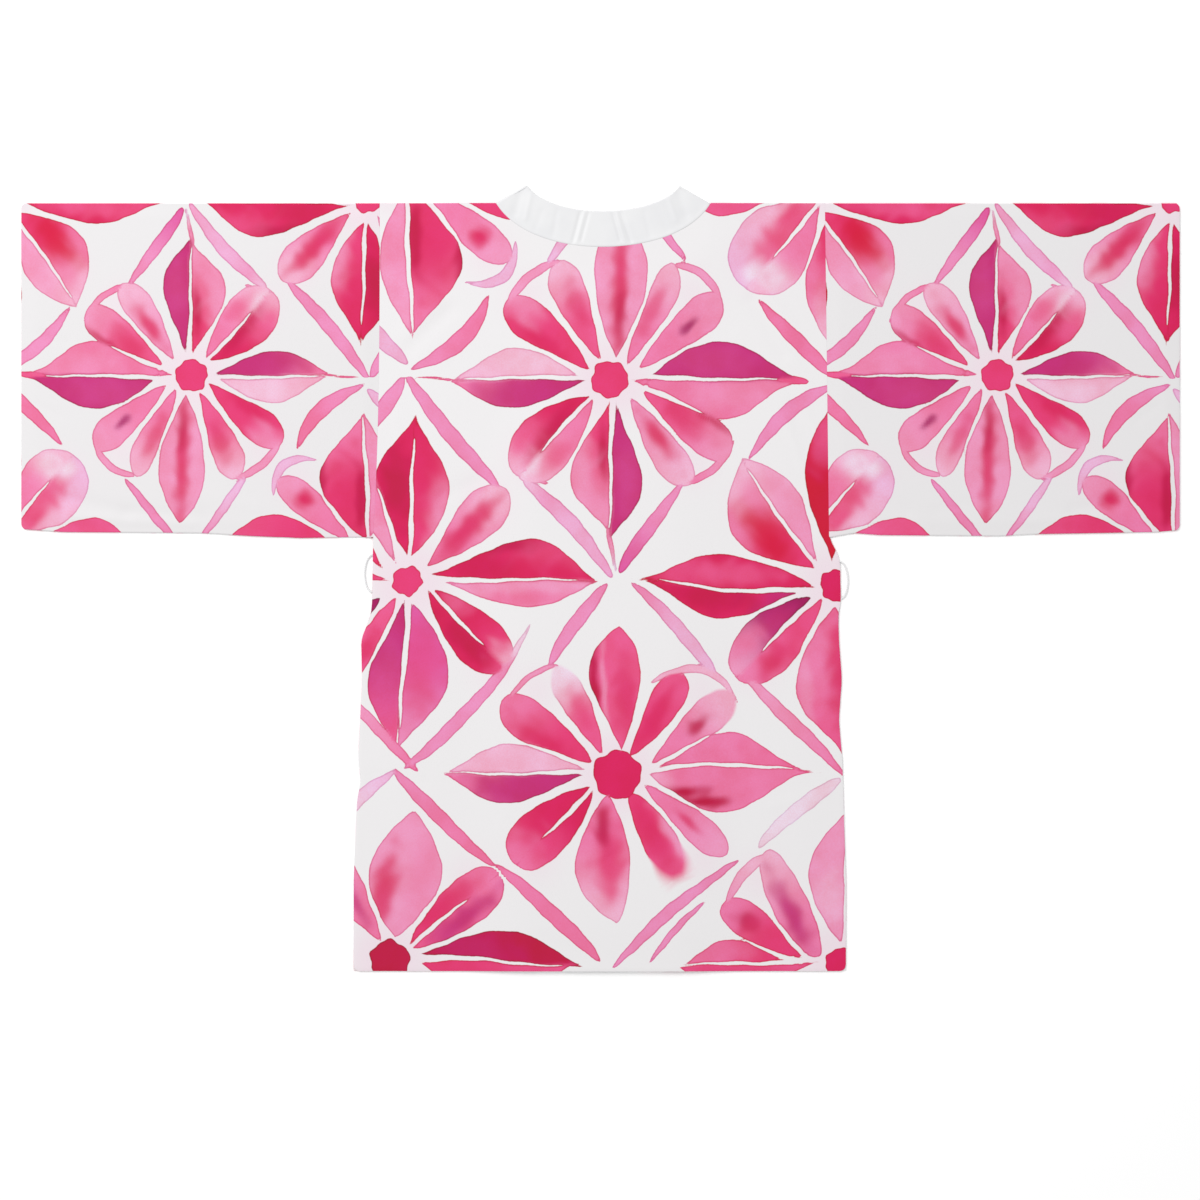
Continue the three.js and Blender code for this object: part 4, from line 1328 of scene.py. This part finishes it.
@dataclass(frozen=True)
class BackPanel:
    """The robe's back, in one piece from hem to neck, the print on its upper face."""

    columns: int = 204
    rows: int = 352
    step: int = 4
    seam_ease: float = 15.0
    flat: tuple[float, float] = (0.543, 0.845)
    area: float = 0.437

    def edges(self, y: np.ndarray) -> tuple[np.ndarray, np.ndarray]:
        """X of the panel's two sides at heights y."""
        return ROBE.side_x(-1, y) + WALL.seam_gap, ROBE.side_x(1, y) - WALL.seam_gap

    def shape(self) -> Shape:
        """Lays the panel out as the CAD source does, on a finer grid."""
        hem, top = ROBE.hem_y, ROBE.shoulder_y
        seam = ROBE.neck_line().beside(-(ROBE.band_half - WALL.tuck))
        (left,), (right,) = self.edges(np.array([top]))
        top_x = mix(left, right, graded(self.columns))
        top_y = np.interp(top_x, seam[:, 0], seam[:, 1], left=top, right=top)
        left, right = self.edges(top_y)
        share = ((top_x - left) / (right - left))[None, :]
        up = graded(self.rows)[:, None]
        (left,), (right,) = self.edges(np.array([hem]))
        inset = np.minimum(share, 1 - share) * (right - left)
        y = mix(hem, top_y[None, :], up) + ROBE.hem_lift(inset, mix(hem, top, up))
        left, right = self.edges(y)
        x = mix(left, right, share)
        close = np.minimum(np.minimum(x - left, right - x), np.minimum(up, 1 - up) * (top - hem))
        sewn = smoothstep(y, ROBE.armpit_y - self.seam_ease, ROBE.armpit_y)
        z = ROBE.back_top(x, y, top_y[None, :]) - WALL.roll(close) * mix(1.0, WALL.seam_roll, sewn)
        return panel(np.stack([x, y, z], 2), self.step, 1)

    def make(self, material: bpy.types.Material) -> bpy.types.Object:
        """Builds the piece and puts it in place of its CAD node."""
        piece = self.shape().build("back_panel", material)
        hand_over(piece, "back")
        return piece


@dataclass(frozen=True)
class FrontPanel:
    """One front, face down under the back, the print on its lower face."""

    sign: int
    name: str
    node: str
    rests_on: tuple[str, ...]
    columns: int = 84
    rows: int = 240
    step: int = 4
    flat: tuple[float, float] = (0.302, 0.845)
    area: float = 0.225

    def under(self, x: np.ndarray, y: np.ndarray) -> np.ndarray:
        """Lower face, which at the shoulder rolls up to the back."""
        below = ROBE.right_front_under(x, y) if self.sign > 0 else np.zeros(x.shape)
        rolled = smoothstep(y, ROBE.shoulder_y - ROBE.shoulder_roll, ROBE.shoulder_y)
        at_shoulder = np.full(x.shape, ROBE.shoulder_y)
        return below + rolled * (ROBE.back_under(x, at_shoulder) - ROBE.back_lowest)

    def shape(self) -> Shape:
        """Lays the panel out from its side seam to its band."""
        up, share = graded(self.rows)[:, None], graded(self.columns)[None, :]
        y = np.maximum(mix(ROBE.hem_y, ROBE.shoulder_y, up), ROBE.hem_y + ROBE.front_hem_short)
        outer_x = ROBE.side_x(self.sign, y) - self.sign * WALL.seam_gap
        inner_x = ROBE.seam_x(self.sign, y)
        x = mix(outer_x, inner_x, share)
        y = np.broadcast_to(y, x.shape)
        inset = np.minimum(share, 1 - share) * np.abs(inner_x - outer_x)
        inset = np.minimum(inset, np.minimum(up, 1 - up) * (ROBE.shoulder_y - ROBE.hem_y))
        return panel(np.stack([x, y, self.under(x, y) + WALL.roll(inset)], 2), self.step, -1)

    def make(self, material: bpy.types.Material) -> bpy.types.Object:
        """Builds the piece and puts it in place of its CAD node."""
        piece = self.shape().build(self.name, material)
        hand_over(piece, self.node)
        return piece


@dataclass(frozen=True)
class Sleeve:
    """One wide sleeve: a flat tube, open at the armhole and at the cuff."""

    sign: int
    name: str
    node: str
    print_middle: tuple[float, float]
    underarm: tuple[tuple[float, float], ...]
    print_scale: float = 0.87
    steps: int = 160
    upper_rows: int = 150
    lower_rows: int = 84
    fold_steps: int = 6
    inner_step: int = 8
    wall: float = 0.8
    flat: tuple[float, float] = (0.389, 0.737)

    def loop(self) -> tuple[np.ndarray, ...]:
        """Section of the tube: upper layer down to the underarm, then back along the lower.

        Returns:
            Share of the way down, the angle by which the outward direction has turned from
            upwards, whether it is the upper layer, and whether its print is past the fold.
        """
        turns = np.linspace(0, math.pi, self.fold_steps + 2)[1:-1]
        upper, lower = graded(self.upper_rows), graded(self.lower_rows)[::-1]
        fold = np.ones(self.fold_steps)
        down = np.concatenate([upper, fold, lower, 0 * fold])
        angle = np.concatenate([0 * upper, turns, 0 * lower + math.pi, turns + math.pi])
        half = np.arange(self.fold_steps) >= self.fold_steps / 2
        turned = np.concatenate([upper < 0, half, lower >= 0, ~half])
        return down, angle, np.arange(len(down)) < len(upper), turned

    def cuff_x(self, y: np.ndarray, bottom_y: np.ndarray) -> np.ndarray:
        """X of the cuff at a height, rounded at its two corners."""
        return ROBE.cuff_x - rounding(np.minimum(y - bottom_y, ROBE.shoulder_y - y), ROBE.cuff_corner)

    def shape(self) -> Shape:
        """Sweeps the section from the armhole to the cuff."""
        down, angle, is_upper, turned = (part[None, :] for part in self.loop())
        out_y, out_z = -np.sin(angle), np.cos(angle)
        half, radius = ROBE.cloth / 2, (ROBE.cloth + ROBE.gap) / 2
        along = graded(self.steps)[:, None]
        armpit = ROBE.side_x(self.sign, np.array([ROBE.armpit_y]))[0]
        table = np.array(sorted(self.underarm))
        bottom_y = np.interp(mix(armpit, self.sign * ROBE.cuff_x, along), table[:, 0], table[:, 1])
        edge = half + radius
        y = mix(ROBE.shoulder_y - edge, bottom_y + edge, down) + radius * out_y
        seam_x = ROBE.side_x(self.sign, y) + self.sign * WALL.seam_gap
        x = mix(seam_x, self.sign * self.cuff_x(y, bottom_y), along)
        from_edge = np.minimum(ROBE.shoulder_y - y, y - bottom_y)
        from_seam, from_cuff = np.abs(x - seam_x), ROBE.cuff_x - np.abs(x)
        from_ends = np.minimum(from_seam, from_cuff)
        reach = ROBE.sleeve_loft_edge
        soft = smoothstep(from_edge, 0, reach) * smoothstep(from_ends, 0, reach)
        rise = ROBE.rise(x, y, soft, np.minimum(from_edge, from_ends))
        middle = half + radius * (1 + out_z) + np.where(is_upper, rise, 0)
        rounded = WALL.roll(from_cuff) + WALL.seam_roll * WALL.roll(from_seam)
        outer = np.stack([x, y + out_y * half, middle + out_z * (half - rounded)], 2)
        back = half - self.wall
        inner = np.stack([x, y + out_y * back, middle + out_z * back], 2)[:: self.inner_step]
        fine = np.arange(x.size).reshape(x.shape)
        coarse = x.size + np.arange(inner[..., 0].size).reshape(inner.shape[:2])
        faces = ring_faces(np.concatenate([fine, coarse[::-1], fine[:1]]))
        points = np.concatenate([outer.reshape(-1, 3), inner.reshape(-1, 3)])
        print_y = np.where(turned, 2 * ROBE.shoulder_y - y, y)
        u, v = (np.concatenate([part.ravel(), part[:: self.inner_step].ravel()]) for part in (x, print_y))
        paint = PRINT.turned(u, v, self.print_middle, self.print_scale)
        return Shape(points, [faces], paint_values(paint, np.arange(len(points)) >= x.size))

    def make(self, material: bpy.types.Material) -> bpy.types.Object:
        """Builds the piece and puts it in place of its CAD node."""
        piece = self.shape().build(self.name, material)
        hand_over(piece, self.node)
        return piece


@dataclass(frozen=True)
class Neckband:
    """The plain band, folded double: up the left front, behind the neck, down the right front."""

    front_steps: int = 60
    neck_steps: int = 300
    fold_steps: int = 10
    fold_stations: int = 3
    round_edge: float = 1.0
    seam_ridge: float = 0.22
    flat_width: float = 0.0394
    ridge_side: float = 17.6
    ridge_width: float = 1.2
    crease_fade: float = 8.0
    half_sides: tuple[float, ...] = (
        19.7, 19.6, 19.3, 18.9, 18.4, 17.5, 16.0, 14.2, 12.4, 10.6, 8.8, 7.0, 5.2, 3.4, 1.6
    )

    def section(self) -> tuple[np.ndarray, np.ndarray]:
        """Places across the band and its half thickness, over its outer and then its inner face."""
        side = np.array([*self.half_sides, 0.0, *(-place for place in self.half_sides[:0:-1])])
        into = np.clip((np.abs(side) - (ROBE.band_half - self.round_edge)) / self.round_edge, 0, 1)
        thick = (ROBE.band_thick / 2) * np.sqrt(1 - into**2)
        across = np.concatenate([side, [-ROBE.band_half], side[:0:-1]])
        return across, np.concatenate([thick, [0], -thick[:0:-1]])

    def ring(self, middle: np.ndarray, across: np.ndarray, out: np.ndarray) -> np.ndarray:
        """Rings of the section at stations.

        Args:
            middle: Middle points, one row each.
            across: Directions to the free edge.
            out: Directions from the inner to the outer face.

        Returns:
            Rings of points, one for each station.
        """
        side, thick = self.section()
        return (
            middle[:, None, :]
            + side[None, :, None] * across[:, None, :]
            + thick[None, :, None] * out[:, None, :]
        )

    def on_front(self, sign: int) -> np.ndarray:
        """Rings down one front, the outer face on the surface below."""
        line = ROBE.front_line(sign, self.front_steps)
        toward = -sign * np.stack([-line.travel[:, 1], line.travel[:, 0]], 1)
        count = len(toward)
        middle = np.column_stack([line.middle, np.full(count, ROBE.band_thick / 2)])
        across = np.column_stack([toward, np.zeros(count)])
        rings = self.ring(middle, across, np.tile([0.0, 0.0, -1.0], (count, 1)))[1:]
        if sign > 0:
            rings[..., 2] += ROBE.right_front_under(rings[..., 0], rings[..., 1])
        return rings

    def level(self, line: Line) -> np.ndarray:
        """Middle height of the band where it joins the back's neck edge."""
        seam = line.beside(-(ROBE.band_half + ROBE.gap))
        return ROBE.back_under(seam[:, 0], seam[:, 1]) + ROBE.cloth / 2

    def behind_neck(self) -> np.ndarray:
        """Rings behind the neck, with the soft creases that cross the band."""
        line = ROBE.neck_line(self.neck_steps)
        across = np.column_stack([-line.travel[:, 1], line.travel[:, 0], np.zeros(len(line.travel))])
        middle = np.column_stack([line.middle, self.level(line)])
        rings = self.ring(middle, across, np.tile([0.0, 0.0, 1.0], (len(middle), 1)))
        side, thick = self.section()
        fade = 1 - np.abs(side / ROBE.band_half) ** self.crease_fade
        upper = (np.clip(thick, 0, None) / (ROBE.band_thick / 2)) * fade
        off = (side + self.ridge_side) / self.ridge_width
        ridge = self.seam_ridge * np.exp(-(off**2)) * (thick > 0)
        rings[..., 2] += upper * creases_at(BAND_CREASES, rings[..., 0], rings[..., 1]) + ridge
        return rings[self.fold_stations : -self.fold_stations]

    def fold(self, sign: int) -> np.ndarray:
        """Rings of the fold over one shoulder, from the front's layer up to the back's."""
        line = ROBE.neck_line(self.neck_steps)
        end = 0 if sign < 0 else -1
        travel = line.travel[end]
        outward = travel * sign
        low = ROBE.band_thick / 2
        radius = (self.level(line)[end] - low) / 2
        pivot = np.append(line.middle[end] - outward * (radius + low), low + radius)
        turn = np.linspace(0, math.pi, self.fold_steps + 1)
        flat = np.sin(turn)
        out = np.column_stack([outward[0] * flat, outward[1] * flat, -np.cos(turn)])
        across = np.tile([-travel[1], travel[0], 0.0], (len(turn), 1))
        return self.ring(pivot + out * radius, across, out)

    def shape(self) -> Shape:
        """Joins the rings into one closed strip."""
        left, right = self.on_front(-1)[::-1], self.on_front(1)
        rings = np.concatenate([left, self.fold(-1), self.behind_neck(), self.fold(1)[::-1], right])
        index = np.arange(rings[..., 0].size).reshape(rings.shape[:2])
        caps = np.array([index[0][::-1], index[-1]])
        return Shape(rings.reshape(-1, 3), [ring_faces(index), caps])

    def length(self) -> float:
        """Length of the band's middle line, in metres."""
        lines = (ROBE.front_line(-1), ROBE.neck_line(), ROBE.front_line(1))
        return sum(float(np.hypot(*np.diff(line.middle, axis=0).T).sum()) for line in lines) * MM

    def make(self, material: bpy.types.Material) -> bpy.types.Object:
        """Builds the piece and puts it in place of its CAD node."""
        piece = self.shape().build("neckband_strip", material)
        hand_over(piece, "neckband")
        self.length()
        return piece


class ThreadNodes(NodeTree):
    """Geometry Nodes that twist plies of thread along a path of edges."""

    INPUTS = (
        ("Geometry", "Geometry", None),
        ("Ply Radius", "Float", 0.0005),
        ("Twist Radius", "Float", 0.0005),
        ("Pitch", "Float", 0.004),
        ("Step", "Float", 0.0006),
        ("Plies", "Int", 2),
        ("Thread", "Material", None),
    )
    PLY_SIDES = 10

    def __init__(self) -> None:
        """Builds the tree, with its sizes as named inputs."""
        super().__init__(bpy.data.node_groups.new("twisted_thread", "GeometryNodeTree"))
        face = self.tree.interface
        for name, kind, value in self.INPUTS:
            socket = face.new_socket(name, in_out="INPUT", socket_type=f"NodeSocket{kind}")
            if value is not None:
                socket.default_value = value
        face.new_socket("Geometry", in_out="OUTPUT", socket_type="NodeSocketGeometry")
        self.given = self.node("NodeGroupInput").outputs
        self.wire()

    def vector(self, operation: str, first: Socket, second: Socket) -> Socket:
        """Works out one vector from two, or from one and a number."""
        node = self.node("ShaderNodeVectorMath", {"operation": operation})
        self.feed(node.inputs[0], first)
        self.feed(node.inputs["Scale"] if operation == "SCALE" else node.inputs[1], second)
        return node.outputs[0]

    def twist(self, angle: Socket) -> Socket:
        """How far a ply lies off the path where it has turned by an angle."""
        tangent = self.node("GeometryNodeInputTangent").outputs[0]
        normal = self.node("GeometryNodeInputNormal").outputs[0]
        side = self.vector("CROSS_PRODUCT", tangent, normal)
        reach = self.given["Twist Radius"]
        parts = (
            self.vector("SCALE", way, self.math("MULTIPLY", reach, self.math(turn, angle)))
            for way, turn in ((normal, "COSINE"), (side, "SINE"))
        )
        return self.vector("ADD", *parts)

    def wire(self) -> None:
        """Twists copies of the path round it and gives them their thickness."""
        given = self.given
        path = self.node("GeometryNodeMeshToCurve", Mesh=given["Geometry"]).outputs[0]
        evenly = self.node("GeometryNodeResampleCurve", {"mode": "LENGTH"}, Curve=path, Length=given["Step"])
        each = {"domain": "SPLINE"}
        copies = self.node(
            "GeometryNodeDuplicateElements", each, Geometry=evenly.outputs[0], Amount=given["Plies"]
        )
        along = self.node("GeometryNodeSplineParameter").outputs["Length"]
        phase = self.math("DIVIDE", copies.outputs["Duplicate Index"], given["Plies"])
        turn = self.math("ADD", self.math("DIVIDE", along, given["Pitch"]), phase)
        offset = self.twist(self.math("MULTIPLY", turn, math.tau))
        moved = self.node("GeometryNodeSetPosition", Geometry=copies.outputs["Geometry"], Offset=offset)
        ply = self.node(
            "GeometryNodeCurvePrimitiveCircle", Resolution=self.PLY_SIDES, Radius=given["Ply Radius"]
        )
        sweep = {"Curve": moved.outputs[0], "Profile_Curve": ply.outputs["Curve"], "Fill_Caps": True}
        swept = self.node("GeometryNodeCurveToMesh", **sweep).outputs[0]
        real = self.node("GeometryNodeRealizeInstances", Geometry=swept)
        dressed = self.node("GeometryNodeSetMaterial", Geometry=real.outputs[0], Material=given["Thread"])
        self.node("NodeGroupOutput", Geometry=dressed.outputs[0])

    def apply(
        self, name: str, path: np.ndarray, material: bpy.types.Material, sizes: dict[str, float]
    ) -> bpy.types.Object:
        """Runs the tree on a path and keeps the result as a plain mesh.

        Args:
            name: The piece's name.
            path: Points of the path, in metres.
            material: The thread's finish.
            sizes: Values for the tree's named inputs.

        Returns:
            The finished object.
        """
        guide = bpy.data.meshes.new(name + "_path")
        guide.from_pydata([tuple(point) for point in path], [(k, k + 1) for k in range(len(path) - 1)], [])
        holder = add(name + "_path", guide)
        modifier = holder.modifiers.new("thread", "NODES")
        modifier.node_group = self.tree
        wanted = {**sizes, "Thread": material}
        for item in self.tree.interface.items_tree:
            if item.in_out == "INPUT" and item.name in wanted:
                modifier[item.identifier] = wanted[item.name]
        mesh = bpy.data.meshes.new_from_object(holder.evaluated_get(bpy.context.evaluated_depsgraph_get()))
        mesh.name = name
        bpy.data.objects.remove(holder)
        mesh.shade_smooth()
        return add(name, mesh)


@dataclass(frozen=True)
class BeltLoop:
    """A loop of twisted thread at a side seam, standing out in the plane of the cloth."""

    sign: int
    name: str
    node: str
    top: float
    bottom: float
    out: float = 8.4
    radius: float = 1.1
    ply_radius: float = 0.62
    pitch: float = 4.6
    steps: int = 40

    def path(self) -> np.ndarray:
        """Half an ellipse from one end on the seam to the other, in metres."""
        turn = np.linspace(0, math.pi, self.steps + 1)
        middle, half = (self.top + self.bottom) / 2, (self.top - self.bottom) / 2
        y = middle + half * np.cos(turn)
        ends = ROBE.side_x(self.sign, np.array([self.top, self.bottom]))
        x = mix(ends[0], ends[1], turn / math.pi) + self.sign * (ROBE.gap + self.out * np.sin(turn))
        return np.column_stack([x, y, np.full(len(turn), self.radius)]) * MM

    def make(self, nodes: ThreadNodes, material: bpy.types.Material) -> bpy.types.Object:
        """Builds the piece from its path."""
        sizes = {
            "Ply Radius": self.ply_radius * MM,
            "Twist Radius": (self.radius - self.ply_radius) * MM,
            "Pitch": self.pitch * MM,
        }
        piece = nodes.apply(self.name, self.path(), material, sizes)
        hand_over(piece, self.node)
        return piece


@dataclass(frozen=True)
class Studio:
    """The pale floor, the soft light and the camera straight above, in metres."""

    floor_half: float = 4.0
    floor_z: float = -0.0003
    floor_finish: Finish = Finish("pale_floor", (255, 255, 255), 1.0, 0.9, 0.0, 0.0)
    world_light: float = 0.74
    lamp_power: float = 92.0
    lamp_place: tuple[float, float, float] = (-1.6, 2.0, 3.4)
    lamp_size: float = 2.6
    view_middle: tuple[float, float] = (-0.00055, -0.0242)
    view_width: float = 1.32
    lens: float = 90.0
    sensor: float = 36.0
    robe_level: float = 0.004

    def floor(self) -> None:
        """Lays a plain floor, just under the robe."""
        half = self.floor_half
        mesh = bpy.data.meshes.new("floor")
        corners = [(-half, -half), (half, -half), (half, half), (-half, half)]
        mesh.from_pydata([(x, y, self.floor_z) for x, y in corners], [], [(0, 1, 2, 3)])
        mesh.materials.append(self.floor_finish.material())
        add("floor", mesh)

    def lights(self) -> None:
        """Lights the robe from all round, and a little more from the upper left."""
        scene = bpy.context.scene
        scene.world = bpy.data.worlds.new("studio")
        scene.world.use_nodes = True
        background = scene.world.node_tree.nodes["Background"]
        background.inputs["Color"].default_value = (1, 1, 1, 1)
        background.inputs["Strength"].default_value = self.world_light
        lamp = bpy.data.lights.new("soft_lamp", "AREA")
        lamp.energy = self.lamp_power
        lamp.size = self.lamp_size
        holder = add("soft_lamp", lamp)
        holder.location = self.lamp_place
        aim = -np.array(self.lamp_place)
        flat = math.hypot(aim[0], aim[1])
        holder.rotation_euler = (math.atan2(flat, -aim[2]), 0, math.atan2(aim[1], aim[0]) - math.pi / 2)
        scene.view_settings.view_transform = "Standard"

    def camera(self) -> None:
        """Puts the camera straight above the middle of the photograph's frame."""
        lens = bpy.data.cameras.new("above")
        lens.lens = self.lens
        lens.sensor_width = self.sensor
        camera = add("above", lens)
        distance = self.view_width * self.lens / self.sensor
        camera.location = (*self.view_middle, distance + self.robe_level)
        bpy.context.scene.camera = camera

    def build(self) -> None:
        """Sets up floor, lights and camera."""
        self.floor()
        self.lights()
        self.camera()


LEFT_UNDERARM = (
    (-250.2, 44.0),
    (-264.6, 45.1),
    (-330.6, 44.0),
    (-385.6, 46.2),
    (-440.6, 49.5),
    (-594.6, 50.6),
    (-637.5, 53.5),
)
RIGHT_UNDERARM = (
    (251.6, 44.5),
    (280.0, 49.5),
    (307.5, 47.3),
    (439.5, 46.2),
    (483.5, 48.4),
    (615.5, 50.6),
    (637.5, 52.5),
)
LEFT_FLOWER = (-449.4, 222.2)
RIGHT_FLOWER = (437.3, 222.2)


def main() -> None:
    """Builds the robe's pieces in order, then the studio."""
    logging.basicConfig(level=logging.INFO, format="%(message)s")
    back_cloth = PrintedSatin("printed_back_satin", (239, 237, 238)).material()
    # The sleeves take a copy of the back's satin with a darker white (234 against 239). This is painted shade
    # that makes the sleeves look dimmer than the back.
    sleeve_cloth = PrintedSatin("printed_sleeve_satin_painted_shade", (234, 232, 233)).material()
    FrontPanel(-1, "left_front_panel", "front_left", ("floor",)).make(back_cloth)
    FrontPanel(1, "right_front_panel", "front_right", ("left_front_panel",)).make(back_cloth)
    Neckband().make(BandSatin().material())
    BackPanel().make(back_cloth)
    Sleeve(-1, "left_sleeve", "sleeve_left", LEFT_FLOWER, LEFT_UNDERARM).make(sleeve_cloth)
    Sleeve(1, "right_sleeve", "sleeve_right", RIGHT_FLOWER, RIGHT_UNDERARM).make(sleeve_cloth)
    thread, nodes = LoopThread().material(), ThreadNodes()
    BeltLoop(-1, "left_belt_loop", "belt_loop_left", top=25.3, bottom=-15.4).make(nodes, thread)
    BeltLoop(1, "right_belt_loop", "belt_loop_right", top=18.0, bottom=-22.6).make(nodes, thread)
    Studio().build()


if __name__ == "__main__":
    main()
